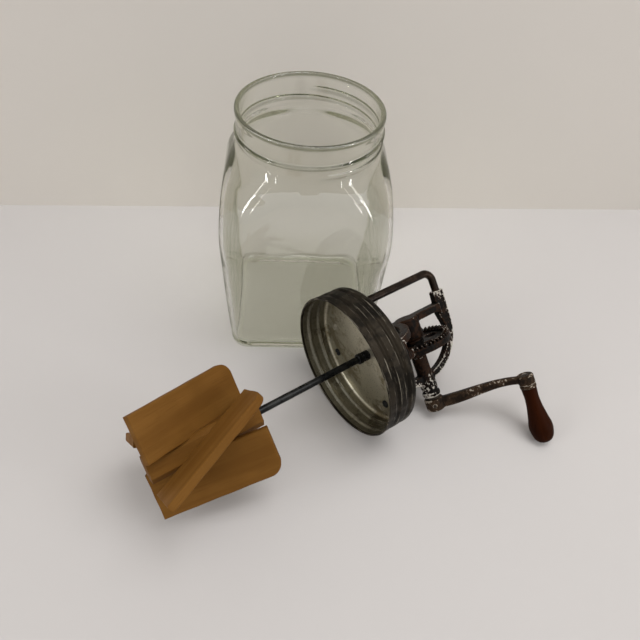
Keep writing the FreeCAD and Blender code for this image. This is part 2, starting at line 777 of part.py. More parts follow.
def make_drive_gear():
    """Crown gear with its teeth on the face that looks at the dasher shaft."""
    web_back, rim_in = gear_web_x + size.gear_web_thick, gear_tooth_inner - 0.5
    rim_out, hub = gear_tooth_outer + 0.5, size.gear_hub_radius
    body = turned_body("drive_gear", [
        (size.crank_shaft_radius, gear_hub_start_x), (hub - 0.8, gear_hub_start_x),
        (hub, gear_hub_start_x + 0.8), (hub, gear_web_x), (rim_in, gear_web_x),
        (rim_in, gear_root_x), (rim_out, gear_root_x), (rim_out, gear_back_x - 1.0),
        (rim_out - 1.0, gear_back_x, as_size(1.0)), (rim_in, gear_back_x), (rim_in, web_back),
        (hub, web_back), (hub, gear_hub_end_x - 0.8), (hub - 0.8, gear_hub_end_x),
        (size.crank_shaft_radius, gear_hub_end_x)])
    sketch = new_sketch(body, "web_hole_outline", "XY_Plane")
    draw_circle(sketch, size.gear_hole_ring, 0, size.gear_hole_radius)
    hole = pocket_through(body, "web_hole", sketch)
    ring_pattern(body, hole, size.gear_holes)
    sketch = new_sketch(body, "tooth_outline", "YZ_Plane", gear_tooth_inner)
    root, tip = tooth_half(size.tooth_dedendum), tooth_half(-size.tooth_addendum)
    draw_outline(sketch, [(-root, gear_root_x + 0.4), (-root, gear_root_x), (-tip, gear_tip_x),
                          (tip, gear_tip_x), (root, gear_root_x), (root, gear_root_x + 0.4)])
    tooth = pad(body, "tooth", sketch, size.gear_face_width)
    ring_pattern(body, tooth, size.gear_teeth)
    drill(body, "pin_hole", "XZ_Plane", 0, gear_pin_x, size.pin_radius, -(hub + 1.0), hub * 2 + 2.0,
          reverse=True)
    return seat(body, crank_place, Z_TO_X)


def make_pinion():
    """Small gear on top of the dasher shaft, driven by the crown gear's lowest teeth."""
    root_radius = size.pinion_pitch_radius - size.tooth_dedendum
    tip_radius = size.pinion_pitch_radius + size.tooth_addendum
    hub, teeth_top = size.pinion_hub_radius, pinion_level + size.pinion_tall
    body = turned_body("pinion", [
        (size.dasher_shaft_radius, pinion_level), (root_radius, pinion_level),
        (root_radius, teeth_top), (hub, teeth_top), (hub, pinion_top_level - 0.6),
        (hub - 0.6, pinion_top_level), (size.dasher_shaft_radius, pinion_top_level)])
    sketch = new_sketch(body, "tooth_outline", "XY_Plane", pinion_level)
    root, tip = tooth_half(size.tooth_dedendum), tooth_half(-size.tooth_addendum)
    draw_outline(sketch, [(root_radius - 0.6, -root), (root_radius, -root), (tip_radius, -tip),
                          (tip_radius, tip), (root_radius, root), (root_radius - 0.6, root)])
    tooth = pad(body, "tooth", sketch, size.pinion_tall)
    ring_pattern(body, tooth, size.pinion_teeth)
    drill(body, "pin_hole", "XZ_Plane", 0, pinion_pin_level, size.pin_radius, -(hub + 1.0),
          hub * 2 + 2.0, reverse=True)
    return seat(body, pinion_place)


def make_cross_pin(label, half_long, place, *steps):
    """A short pin along Y, a little longer than the hub it crosses."""
    body = new_body(label)
    sketch = new_sketch(body, "outline", "XZ_Plane")
    draw_circle(sketch, 0, 0, size.pin_radius)
    pad(body, "pin", sketch, (half_long + size.seat_gap) * 2, both_ways=True)
    return seat(body, place, *steps)


# Crank

def make_crank_shaft():
    radius, end = size.crank_shaft_radius, crank_hub_end_x
    start = -6.0 + size.seat_gap
    body = turned_body("crank_shaft", [
        (0, start), (radius - 0.6, start), (radius, start + 0.6), (radius, end - 0.5),
        (radius - 0.5, end), (0, end)])
    for name, level in (("gear", gear_pin_x), ("crank", crank_pin_x)):
        drill(body, f"{name}_pin_hole", "XZ_Plane", 0, level, size.pin_radius, -(radius + 1.0),
              radius * 2 + 2.0, reverse=True)
    return seat(body, crank_place, Z_TO_X)


def make_crank_washer():
    start = size.tube_end_x + size.seat_gap
    end = start + size.crank_washer_thick
    outer = size.tube_collar_radius - 1.2
    body = turned_body("crank_washer", [
        (size.crank_shaft_radius, start), (outer, start), (outer, end),
        (size.crank_shaft_radius, end)])
    return seat(body, crank_place, Z_TO_X)


def rounded_bar(x, thick, broad):
    """Section of the crank arm: a rounded oblong centred at x."""
    half, side, corner = thick / 2, broad / 2, broad * 0.3
    return [(x + half - corner, -side), (x + half, corner - side, corner),
            (x + half, side - corner), (x + half - corner, side, corner),
            (x - half + corner, side), (x - half, side - corner, corner),
            (x - half, corner - side), (x - half + corner, -side, corner)]


def make_crank_arm():
    """Cast crank arm: hub, slightly waved tapering arm, eye for the knob's pin."""
    body = new_body("crank_arm")
    hub, eye, reach = size.crank_hub_radius, size.crank_eye_radius, size.crank_reach
    middle, eye_half = crank_pin_x, size.crank_eye_long / 2
    sketch = axis_sketch(body, "hub_profile", 0.0)
    start, end = crank_hub_start_x, crank_hub_end_x
    draw_outline(sketch, [
        (start, 0), (end, 0), (end, hub - 2.0), (end - 2.0, hub, as_size(2.0)),
        (start + 1.0, hub), (start, hub - 1.0, as_size(1.0))])
    turn_about_x(body, "hub", sketch)
    thick, tip_thick = size.crank_arm_thick, size.crank_arm_tip_thick
    broad, tip_broad = size.crank_arm_broad, size.crank_arm_tip_broad
    rows = [(hub * 0.3, middle, thick, broad),
            (reach * 0.30, middle + 0.2, thick, broad),
            (reach * 0.52, middle - size.crank_arm_sag * 0.45, (thick + tip_thick) / 2,
             (broad + tip_broad) / 2),
            (reach * 0.73, middle - size.crank_arm_sag * 0.62, tip_thick, tip_broad),
            (reach - eye * 0.5, crank_eye_x, tip_thick, tip_broad)]
    sketches = []
    for index, (height, x, section_thick, section_broad) in enumerate(rows):
        sketch = new_sketch(body, f"arm_{index}", "XY_Plane", height)
        draw_outline(sketch, rounded_bar(x, section_thick, section_broad))
        sketches.append(sketch)
    feature = body.newObject("PartDesign::AdditiveLoft", "crank_arm_bar")
    feature.Profile = sketches[0]
    feature.Sections = sketches[1:]
    sketch = axis_sketch(body, "eye_profile", reach)
    start, end = crank_eye_x - eye_half, crank_eye_x + eye_half
    draw_outline(sketch, [
        (start, 0), (end, 0), (end, eye - 1.0), (end - 1.0, eye, as_size(1.0)),
        (start + 1.6, eye), (start, eye - 1.6, as_size(1.6))])
    turn_about_x(body, "eye", sketch)
    drill(body, "shaft_hole", "YZ_Plane", 0, 0, size.crank_shaft_radius,
          crank_hub_end_x + 1.0, size.crank_hub_long + 2.0)
    drill(body, "eye_hole", "YZ_Plane", 0, reach, size.knob_pin_radius,
          crank_eye_x + eye_half + 1.0, size.crank_eye_long + 2.0)
    drill(body, "pin_hole", "XZ_Plane", crank_pin_x, 0, size.pin_radius, -(hub + 1.0),
          hub * 2 + 2.0, reverse=True)
    return seat(body, crank_place)


def make_knob_pin():
    """Long rivet, fixed in the crank's eye, with its head sunk in the knob's end."""
    radius, head = size.knob_pin_radius, size.knob_pin_radius + 1.6
    start, end = crank_eye_x - size.crank_eye_long / 2, knob_end_x - 1.0
    body = turned_body("knob_pin", [
        (0, start), (radius, start), (radius, end - 2.0), (head, end - 2.0),
        (head, end - 0.9), (head * 0.6, end), (0, end)])
    return seat(body, crank_place, move(z=size.crank_reach), Z_TO_X)


# Knob

def make_knob():
    """Pear shaped turned wooden grip on the crank's pin."""
    bore = size.knob_pin_radius + size.running_fit
    head_bore = size.knob_pin_radius + 1.6 + size.running_fit
    neck, bulge, long = size.knob_neck_radius, size.knob_radius, size.knob_long
    start = knob_start_x + size.ferrule_tall
    level_of = lambda share: knob_start_x + long * share
    body = turned_body("knob", [
        (bore, start), (size.ferrule_radius - 0.6, start),
        (neck, level_of(0.20), -long * 0.34), (neck + 0.2, level_of(0.34), -long * 1.1),
        (bulge - 1.5, level_of(0.60), -long * 0.78), (bulge, level_of(0.76), long * 0.42),
        (bulge * 0.80, level_of(0.92), long * 0.27),
        (head_bore + 0.6, knob_end_x, long * 0.12),
        (head_bore, knob_end_x), (head_bore, knob_end_x - 3.0 - size.seat_gap),
        (bore, knob_end_x - 3.0 - size.seat_gap)])
    return seat(body, crank_place, move(z=size.crank_reach), Z_TO_X)


def make_knob_ferrule():
    """Flat iron cap between the crank's eye and the wood."""
    bore = size.knob_pin_radius + size.running_fit
    top, tall = size.ferrule_radius, size.ferrule_tall
    body = turned_body("knob_ferrule", [
        (bore, knob_start_x), (top - 0.6, knob_start_x), (top, knob_start_x + 0.6),
        (top, knob_start_x + tall - 0.6), (top - 0.6, knob_start_x + tall),
        (bore, knob_start_x + tall)])
    return seat(body, crank_place, move(z=size.crank_reach), Z_TO_X)


# Dasher

def make_dasher_shaft():
    radius, top = size.dasher_shaft_radius, shaft_top_level
    foot = -hub_end_depth + 4.0
    body = turned_body("dasher_shaft", [
        (0, foot), (radius - 0.4, foot), (radius, foot + 0.4), (radius, top - 0.5),
        (radius - 0.5, top), (0, top)])
    drill(body, "pinion_pin_hole", "XZ_Plane", 0, pinion_pin_level, size.pin_radius,
          -(radius + 1.0), radius * 2 + 2.0, reverse=True)
    return seat(body, pinion_place)


def make_shaft_collar():
    """Stop collar under the lid, held by its own screw."""
    bore, outer = size.dasher_shaft_radius, size.collar_radius
    foot = collar_top_level - size.collar_tall
    body = turned_body("shaft_collar", [
        (bore, foot), (outer - 0.6, foot), (outer, foot + 0.6), (outer, collar_top_level - 0.6),
        (outer - 0.6, collar_top_level), (bore, collar_top_level)])
    drill(body, "screw_hole", "XZ_Plane", 0, collar_middle_level, size.pin_radius, 0.0, outer + 1.0)
    return seat(body, dasher_place)


def make_collar_screw():
    body = new_body("collar_screw")
    sketch = new_sketch(body, "outline", "XZ_Plane", -size.collar_radius - 1.2)
    draw_circle(sketch, 0, collar_middle_level, size.pin_radius)
    pad(body, "screw", sketch, size.collar_radius + 1.2 - size.dasher_shaft_radius)
    return seat(body, dasher_place)


def blade_place(turn_index):
    return (dasher_place.multiply(move(z=-blade_middle_depth))
            .multiply(spin(Z_WAY, 90.0 * turn_index)).multiply(spin(X_WAY, size.blade_pitch)))


def make_dasher_blade(turn_index):
    """One flat board, pitched like a propeller's blade, round at its upper outer corner."""
    body = new_body(f"dasher_blade_{turn_index + 1}")
    half = size.blade_run / cosine(size.blade_pitch) / 2
    inner, outer, corner = size.blade_inner_reach, size.blade_reach, size.blade_corner_radius
    sketch = new_sketch(body, "outline", "XZ_Plane")
    draw_outline(sketch, [
        (inner, -half), (outer, -half), (outer, half - corner), (outer - corner, half, corner),
        (inner, half)])
    pad(body, "board", sketch, size.blade_thick, both_ways=True)
    return seat(body, blade_place(turn_index))


def make_hub_nail():
    """Nail through one bevelled side of the hub to the shaft."""
    face = (size.hub_half * 2 - size.hub_bevel) * cosine(as_size(45))
    shank, head = size.pin_radius * 0.8, size.pin_radius * 1.5
    body = turned_body("hub_nail", [
        (0, size.dasher_shaft_radius), (shank, size.dasher_shaft_radius), (shank, face - 0.4),
        (head, face - 0.4), (head, face + 0.3), (0, face + 0.3)])
    return seat(body, dasher_place, move(z=size.hub_nail_rise - hub_end_depth), spin(Z_WAY, 225.0), Z_TO_X)


def make_dasher_hub(blades, nail):
    """Eight sided wooden block on the shaft, slotted for the blades and drilled for the nail."""
    blank = new_body("hub_blank")
    half, flat = size.hub_half, size.hub_half - size.hub_bevel
    sketch = new_sketch(blank, "outline", "XY_Plane", -hub_end_depth)
    draw_outline(sketch, [
        (flat, -half), (half, -flat), (half, flat), (flat, half), (-flat, half), (-half, flat),
        (-half, -flat), (-flat, -half)])
    pad(blank, "block", sketch, size.blade_run + size.hub_lead)
    sketch = new_sketch(blank, "shaft_hole_outline", "XY_Plane", 4.0 - hub_end_depth)
    draw_circle(sketch, 0, 0, size.dasher_shaft_radius)
    hole = blank.newObject("PartDesign::Pocket", "hub_blank_shaft_hole")
    hole.Profile = sketch
    hole.Reversed = True
    bind(hole, "Length", size.blade_run + size.hub_lead)
    seat(blank, dasher_place)
    tools = doc.addObject("Part::Compound", "hub_cutters")
    tools.Links = blades + [nail]
    hub = doc.addObject("Part::Cut", "dasher_hub")
    hub.Base, hub.Tool = blank, tools
    return hub


# Checks and files

def check_and_write(pieces):
    """Stop on any failed object or bad solid, then write one file for each piece."""
    failed = [thing.Name for thing in doc.Objects
              if any(word in thing.State for word in ("Invalid", "Error"))]
    if failed:
        raise RuntimeError(f"these did not build: {failed}")
    os.makedirs("parts", exist_ok=True)
    for piece in pieces:
        shape = piece.Shape
        if shape.isNull() or not shape.isValid() or not shape.Solids:
            raise RuntimeError(f"{piece.Label} is not a sound solid")
        shape.exportStep(f"parts/{piece.Label}.step")
        print(f"{piece.Label:24s} {shape.Volume / 1000:9.3f} cm3  {len(shape.Solids)} solids")


blades = [make_dasher_blade(index) for index in range(4)]
hub_nail = make_hub_nail()
gear_pin = make_cross_pin("gear_pin", size.gear_hub_radius, crank_place, move(x=gear_pin_x))
pinion_pin = make_cross_pin("pinion_pin", size.pinion_hub_radius, pinion_place,
                            move(z=pinion_pin_level))
crank_pin = make_cross_pin("crank_pin", size.crank_hub_radius, crank_place, move(x=crank_pin_x))
pieces = [
    make_glass_jar(),
    make_lid(), make_gear_frame(), make_lid_screws(), make_shaft_bushing(), make_wire_handle(),
    make_handle_nut(),
    make_drive_gear(), make_crank_shaft(), make_crank_washer(), make_crank_arm(), make_knob_pin(),
    gear_pin, crank_pin,
    make_knob(), make_knob_ferrule(),
    make_pinion(), pinion_pin, make_dasher_shaft(), make_shaft_collar(), make_collar_screw(),
    make_dasher_hub(blades, hub_nail), hub_nail, *blades,
]
doc.recompute()
check_and_write(pieces)
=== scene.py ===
"""Glass butter churn: square glass jar, and its screw lid lying in front of it with the
cast gear frame, hand crank, rod handle and wooden dasher that the lid carries.

Lengths are in millimetres until a mesh is made, and metres from there on."""
import logging
import math
from dataclasses import dataclass, field
from enum import Enum
from typing import Callable, Optional, Sequence

import bpy
import numpy as np
from mathutils import Matrix


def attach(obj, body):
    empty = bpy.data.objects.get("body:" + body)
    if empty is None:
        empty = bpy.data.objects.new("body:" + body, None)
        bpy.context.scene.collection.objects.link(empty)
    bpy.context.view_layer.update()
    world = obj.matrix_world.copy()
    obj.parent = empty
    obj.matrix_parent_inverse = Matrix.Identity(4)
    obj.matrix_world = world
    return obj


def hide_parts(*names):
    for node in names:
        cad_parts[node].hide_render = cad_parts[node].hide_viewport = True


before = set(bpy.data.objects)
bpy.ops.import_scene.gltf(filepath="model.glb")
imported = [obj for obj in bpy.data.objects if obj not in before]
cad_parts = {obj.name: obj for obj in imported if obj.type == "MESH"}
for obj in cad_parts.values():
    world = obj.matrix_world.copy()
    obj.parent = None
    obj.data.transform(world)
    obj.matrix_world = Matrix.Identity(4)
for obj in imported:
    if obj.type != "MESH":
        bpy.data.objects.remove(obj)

MM = 0.001
LOG = logging.getLogger("butter_churn")
Array = np.ndarray
Point = tuple[float, float, float]
Colour = tuple[float, float, float, float]

# An edge that turns by more degrees than this stays sharp, where a piece says no other angle.
SHARP_ABOVE = 40.0


# Places and turns

def turn_about(axis: str, degrees: float) -> Array:
    """Rotation matrix about one axis, by the right-hand rule.

    Args:
        axis: "x", "y" or "z".
        degrees: angle of the turn.

    Returns:
        A 3 by 3 matrix that turns column vectors.
    """
    c, s = math.cos(math.radians(degrees)), math.sin(math.radians(degrees))
    rows = {"x": [[1, 0, 0], [0, c, -s], [0, s, c]],
            "y": [[c, 0, s], [0, 1, 0], [-s, 0, c]],
            "z": [[c, -s, 0], [s, c, 0], [0, 0, 1]]}
    return np.array(rows[axis], dtype=float)


@dataclass(frozen=True)
class Place:
    """A local frame inside the row frame: where it is in millimetres, and how it is turned."""

    origin: Point = (0.0, 0.0, 0.0)
    turn: tuple[tuple[float, ...], ...] = ((1.0, 0.0, 0.0), (0.0, 1.0, 0.0), (0.0, 0.0, 1.0))

    def matrix(self) -> Array:
        """The turn as an array."""
        return np.array(self.turn)

    def moved(self, x: float = 0.0, y: float = 0.0, z: float = 0.0) -> "Place":
        """The same frame, moved along its own axes."""
        origin = np.array(self.origin) + self.matrix() @ np.array([x, y, z])
        return Place(tuple(origin), self.turn)

    def turned(self, axis: str, degrees: float) -> "Place":
        """The same frame, turned about one of its own axes."""
        turn = self.matrix() @ turn_about(axis, degrees)
        return Place(self.origin, tuple(map(tuple, turn)))

    def to_row(self, points: Array) -> Array:
        """Local points as row frame points."""
        return points @ self.matrix().T + np.array(self.origin)

    def to_local(self, points: Array) -> Array:
        """Row frame points as local points."""
        return (points - np.array(self.origin)) @ self.matrix()


@dataclass(frozen=True)
class Pose:
    """How the head lies on the table, and how its crank and dasher are turned."""

    head_x: float = 33.2
    head_y: float = -145.6
    rim_radius: float = 66.4
    heading: float = 32.9
    roll: float = -44.0
    crank_level: float = 80.0
    crank_turn: float = 38.7
    dasher_turn: float = -2.3
    blade_pitch: float = 24.3
    blade_middle_depth: float = 135.5

    def head(self) -> Place:
        """Z runs up the dasher shaft from the lid's open rim, X towards the crank."""
        place = Place((self.head_x, self.head_y, self.rim_radius))
        return place.turned("z", self.heading).turned("y", 90).turned("z", self.roll)

    def crank(self) -> Place:
        """X runs along the crank shaft towards the crank, Z up the crank arm."""
        return self.head().moved(z=self.crank_level).turned("x", self.crank_turn)

    def dasher(self) -> Place:
        """Z runs up the dasher shaft, X along the first blade."""
        return self.head().turned("z", self.dasher_turn)

    def blade(self, index: int) -> Place:
        """X runs out from the shaft, Z up the length of one blade."""
        middle = self.dasher().moved(z=-self.blade_middle_depth)
        return middle.turned("z", 90.0 * index).turned("x", self.blade_pitch)


POSE = Pose()


# Mesh making

def closed_faces(rows: int, columns: int, along: bool) -> Array:
    """Quad faces of a grid of points whose columns go round, row by row.

    Args:
        rows: number of point rows.
        columns: number of points in a row.
        along: join the last row to the first.

    Returns:
        An array of four point numbers a face.
    """
    row = np.arange(rows if along else rows - 1)[:, None]
    column = np.arange(columns)[None, :]
    next_row, next_column = (row + 1) % rows, (column + 1) % columns
    quads = [row * columns + column, row * columns + next_column,
             next_row * columns + next_column, next_row * columns + column]
    return np.stack(np.broadcast_arrays(*quads), axis=-1).reshape(-1, 4)


@dataclass
class Skin:
    """Points and faces of one closed surface, in a local frame and in millimetres."""

    points: Array
    quads: Array
    fans: Array = field(default_factory=lambda: np.zeros((0, 3), dtype=int))

    @staticmethod
    def from_grid(grid: Array, start_pole: Optional[Array] = None,
                  end_pole: Optional[Array] = None, along: bool = False) -> "Skin":
        """A closed skin from a grid whose columns go round, with a fan to a pole at each end.

        Args:
            grid: points, shaped rows by columns by 3.
            start_pole: middle point of the fan on the first row.
            end_pole: middle point of the fan on the last row.
            along: join the last row to the first, as on a ring.

        Returns:
            The skin.
        """
        rows, columns = grid.shape[:2]
        points, fans = [grid.reshape(-1, 3)], []
        column = np.arange(columns)
        following = (column + 1) % columns
        count = rows * columns
        for pole, base, flip in ((start_pole, 0, True), (end_pole, (rows - 1) * columns, False)):
            if pole is None:
                continue
            points.append(np.asarray(pole, dtype=float).reshape(1, 3))
            edge = [base + column, base + following, np.full(columns, count)]
            fans.append(np.stack(edge[::-1] if flip else edge, axis=-1))
            count += 1
        quads = closed_faces(rows, columns, along)
        return Skin(np.concatenate(points), quads,
                    np.concatenate(fans) if fans else np.zeros((0, 3), dtype=int))

    def joined(self, other: "Skin") -> "Skin":
        """Both skins as one, each left as it is.

        Args:
            other: the skin to add.

        Returns:
            One skin, with no points merged.
        """
        shift = len(self.points)
        return Skin(np.concatenate([self.points, other.points]),
                    np.concatenate([self.quads, other.quads + shift]),
                    np.concatenate([self.fans, other.fans + shift]))


def round_grid(radius: Array, height: Array, columns: int) -> Array:
    """A turned surface: each profile point (radius, height) carried once round Z.

    Args:
        radius: radii down the profile.
        height: heights down the profile.
        columns: points round the axis.

    Returns:
        Grid of points, one row for each profile point.
    """
    angle = round_angles(columns)
    x = radius[:, None] * np.cos(angle)
    y = radius[:, None] * np.sin(angle)
    return np.stack([x, y, np.broadcast_to(height[:, None], x.shape)], axis=-1)


def round_angles(count: int) -> Array:
    """Angles evenly spread once round."""
    return np.linspace(0.0, 2 * np.pi, count, endpoint=False)


def bell(value: Array, middle: float | Array, width: float) -> Array:
    """The bell curve exp(-((value - middle) / width) squared)."""
    return np.exp(-((value - middle) / width) ** 2)


def eased(share: Array) -> Array:
    """A share held between 0 and 1, as 3 share squared less 2 share cubed."""
    held = np.clip(share, 0.0, 1.0)
    return held * held * (3 - 2 * held)


def through(knots: Sequence[Sequence[float]], count: int) -> Array:
    """A smooth curve through knots: cubic Hermite spans whose slopes are the mean of their
    neighbours' chords, with the parameter growing by chord length.

    Args:
        knots: points to pass through.
        count: number of points wanted along the curve.

    Returns:
        Points evenly spread over the parameter.
    """
    knots = np.asarray(knots, dtype=float)
    gaps = np.linalg.norm(np.diff(knots, axis=0), axis=1)
    reach = np.concatenate([[0.0], np.cumsum(gaps)])
    slopes = np.gradient(knots, reach, axis=0)
    where = np.linspace(0.0, reach[-1], count)
    span = np.clip(np.searchsorted(reach, where, side="right") - 1, 0, len(gaps) - 1)
    width = gaps[span][:, None]
    t = ((where - reach[span]) / gaps[span])[:, None]
    start, end = knots[span], knots[span + 1]
    return ((2 * t ** 3 - 3 * t ** 2 + 1) * start + (t ** 3 - 2 * t ** 2 + t) * width * slopes[span]
            + (3 * t ** 2 - 2 * t ** 3) * end + (t ** 3 - t ** 2) * width * slopes[span + 1])


def make_piece(name: str, skin: Skin, place: Place, sharp_above: float = SHARP_ABOVE,
               marks_and_painted_light_values: Optional[Array] = None) -> bpy.types.Object:
    """A Blender object from a skin, smooth but for edges that turn by more than an angle.

    Args:
        name: the piece's name.
        skin: its surface in a local frame.
        place: where that frame is.
        sharp_above: angle in degrees above which an edge stays sharp.
        marks_and_painted_light_values: a value from 0 to 1 for each point, kept as an attribute: on
            the lid its wear with painted highlight lines, on the jar its thickness, which sets its
            green and painted shade.

    Returns:
        The object, at the origin, with its own local places kept as an attribute.
    """
    mesh = bpy.data.meshes.new(name)
    faces = skin.quads.tolist() + skin.fans.tolist()
    mesh.from_pydata((place.to_row(skin.points) * MM).tolist(), [], faces)
    mesh.validate()
    keep_own_place(mesh, place)
    if marks_and_painted_light_values is not None:
        marks_and_painted_light = mesh.attributes.new("marks_and_painted_light", "FLOAT", "POINT")
        marks_and_painted_light.data.foreach_set("value", marks_and_painted_light_values.astype(np.float32).ravel())
    mesh.shade_smooth()
    mesh.set_sharp_from_angle(angle=math.radians(sharp_above))
    piece = bpy.data.objects.new(name, mesh)
    bpy.context.scene.collection.objects.link(piece)
    return piece


def keep_own_place(mesh: bpy.types.Mesh, place: Place) -> None:
    """Store each point's place in the piece's own frame, in metres, for its material to read.

    Args:
        mesh: the mesh, whose points are in the row frame.
        place: where the piece's own frame is.
    """
    row = np.empty(len(mesh.vertices) * 3)
    mesh.vertices.foreach_get("co", row)
    local = place.to_local(row.reshape(-1, 3) / MM) * MM
    attribute = mesh.attributes.get("own_place") or mesh.attributes.new(
        "own_place", "FLOAT_VECTOR", "POINT")
    attribute.data.foreach_set("vector", local.astype(np.float32).ravel())


def from_node(name: str, node: str, place: Place, bevel: float = 0.0, voxel: float = 0.0,
              smooth_rounds: int = 0) -> bpy.types.Object:
    """A finer copy of a solid: merged, then either remeshed and softened or bevelled.

    Args:
        name: the new piece's name.
        node: the solid that it follows.
        place: the piece's own frame.
        bevel: width of the rounded edges, in millimetres.
        voxel: voxel size of a cast skin, in millimetres, or 0 for none.
        smooth_rounds: smoothing passes over a cast skin.

    Returns:
        The object, at the origin.
    """
    piece = bpy.data.objects.new(name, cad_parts[node].data.copy())
    bpy.context.scene.collection.objects.link(piece)
    weld = piece.modifiers.new("weld", "WELD")
    weld.merge_threshold = 0.01 * MM
    if voxel:
        remesh = piece.modifiers.new("remesh", "REMESH")
        remesh.mode = "VOXEL"
        remesh.voxel_size = voxel * MM
        remesh.use_smooth_shade = True
        smooth = piece.modifiers.new("smooth", "SMOOTH")
        smooth.factor, smooth.iterations = 0.5, smooth_rounds
    elif bevel:
        edge = piece.modifiers.new("edges", "BEVEL")
        edge.width, edge.segments = bevel * MM, 2
        edge.limit_method, edge.angle_limit = "ANGLE", math.radians(30)
    graph = bpy.context.evaluated_depsgraph_get()
    finished = bpy.data.meshes.new_from_object(piece.evaluated_get(graph))
    piece.modifiers.clear()
    piece.data = finished
    finished.name = name
    finished.materials.clear()
    keep_own_place(finished, place)
    finished.shade_smooth()
    if not voxel:
        finished.set_sharp_from_angle(angle=math.radians(SHARP_ABOVE))
    return piece


# Materials

class Tree:
    """Short ways to add and join nodes in one node tree."""

    def __init__(self, tree: bpy.types.NodeTree) -> None:
        """Take the tree to work in."""
        self.tree = tree

    def feed(self, node: bpy.types.Node, inputs: dict[str | int, object]) -> None:
        """Set or join a node's inputs.

        Args:
            node: the node.
            inputs: values or output sockets, by input name or number.
        """
        for key, value in inputs.items():
            socket = node.inputs[key]
            if isinstance(value, bpy.types.NodeSocket):
                self.tree.links.new(value, socket)
            else:
                socket.default_value = value

    def node(self, kind: str, inputs: Optional[dict[str | int, object]] = None,
             **settings: object) -> bpy.types.Node:
        """Add a node, set its own settings, and set or join its inputs.

        Args:
            kind: the node's type name, without its ShaderNode prefix.
            inputs: values or output sockets, by input name or number.
            settings: attributes of the node itself.

        Returns:
            The node.
        """
        made = self.tree.nodes.new("ShaderNode" + kind)
        for key, value in settings.items():
            setattr(made, key, value)
        self.feed(made, inputs or {})
        return made

    def math(self, operation: str, *values: object) -> bpy.types.NodeSocket:
        """One sum of up to three values."""
        return self.node("Math", dict(enumerate(values)), operation=operation).outputs[0]

    def rising(self, start: object, value: object, slope: float) -> bpy.types.NodeSocket:
        """The sum start + slope * value."""
        return self.math("ADD", start, self.math("MULTIPLY", value, slope))

    def weighed(self, *parts: tuple[object, float]) -> bpy.types.NodeSocket:
        """The sum of several values, each times its weight.

        Args:
            parts: pairs of a value and its weight.

        Returns:
            The sum's socket.
        """
        total = self.math("MULTIPLY", *parts[0])
        for value, weight in parts[1:]:
            total = self.rising(total, value, weight)
        return total

    def mix(self, share: object, first: object, second: object,
            blend: str = "MIX") -> bpy.types.NodeSocket:
        """Two colours mixed by a share."""
        made = self.node("MixRGB", {"Fac": share, "Color1": first, "Color2": second},
                         blend_type=blend)
        return made.outputs["Color"]

    def tinge(self, mask: object, strength: float, colour: object,
              other: object) -> bpy.types.NodeSocket:
        """A colour with another one over it, by a mask times a strength."""
        return self.mix(self.math("MULTIPLY", mask, strength), colour, other)

    def step(self, value: object, low: object, high: object) -> bpy.types.NodeSocket:
        """A smooth step from 0 at low to 1 at high."""
        made = self.node("MapRange", {"Value": value, "From Min": low, "From Max": high},
                         interpolation_type="SMOOTHSTEP")
        return made.outputs["Result"]

    def noise(self, vector: object, scale: object, detail: object = 4.0, rough: object = 0.55,
              warp: float = 0.0) -> bpy.types.NodeSocket:
        """Fractal noise, from 0 to 1, at a scale of features to the metre."""
        made = self.node("TexNoise", {"Vector": vector, "Scale": scale, "Detail": detail,
                                      "Roughness": rough, "Distortion": warp})
        return made.outputs["Fac"]

    def bump(self, height: object, strength: float, depth: float) -> bpy.types.NodeSocket:
        """The surface's direction, bent by a height of so many metres."""
        made = self.node("Bump", {"Height": height, "Strength": strength, "Distance": depth})
        return made.outputs["Normal"]

    def own_place(self) -> bpy.types.NodeSocket:
        """The point's place in its piece's own frame, in metres."""
        return self.node("Attribute", attribute_name="own_place").outputs["Vector"]

    def marks_and_painted_light(self) -> bpy.types.NodeSocket:
        """The value from 0 to 1 that the point's piece stored: on the lid wear with painted
        highlight lines, on the jar thickness for its green and painted shade.
        """
        return self.node("Attribute", attribute_name="marks_and_painted_light").outputs["Fac"]

    def level(self, vector: object) -> bpy.types.NodeSocket:
        """The height in a place."""
        return self.node("SeparateXYZ", {0: vector}).outputs["Z"]

    def stretched(self, vector: object, scale: Point) -> bpy.types.NodeSocket:
        """A place stretched along each axis."""
        return self.node("Mapping", {"Vector": vector, "Scale": scale}).outputs["Vector"]

    def show_mix(self, share: object, first: bpy.types.Node, second: bpy.types.Node) -> None:
        """Put a mix of two shaders on the material's output.

        Args:
            share: share of the second shader.
            first: the shader where the share is 0.
            second: the shader where the share is 1.
        """
        both = self.node("MixShader", {"Fac": share, 1: first.outputs[0], 2: second.outputs[0]})
        output = next(node for node in self.tree.nodes if node.type == "OUTPUT_MATERIAL")
        self.tree.links.new(both.outputs[0], output.inputs["Surface"])


def new_group(name: str, inputs: dict[str, float], outputs: Sequence[str]
              ) -> tuple[bpy.types.NodeTree, bpy.types.Node, bpy.types.Node]:
    """An empty shader node group with a Vector input, float inputs and float outputs.

    Args:
        name: the group's name.
        inputs: default value of each float input.
        outputs: names of the float outputs.

    Returns:
        The tree, its input node and its output node.
    """
    group = bpy.data.node_groups.new(name, "ShaderNodeTree")
    group.interface.new_socket("Vector", in_out="INPUT", socket_type="NodeSocketVector")
    for key, value in inputs.items():
        socket = group.interface.new_socket(key, in_out="INPUT", socket_type="NodeSocketFloat")
        socket.default_value = value
    for key in outputs:
        group.interface.new_socket(key, in_out="OUTPUT", socket_type="NodeSocketFloat")
    return group, group.nodes.new("NodeGroupInput"), group.nodes.new("NodeGroupOutput")


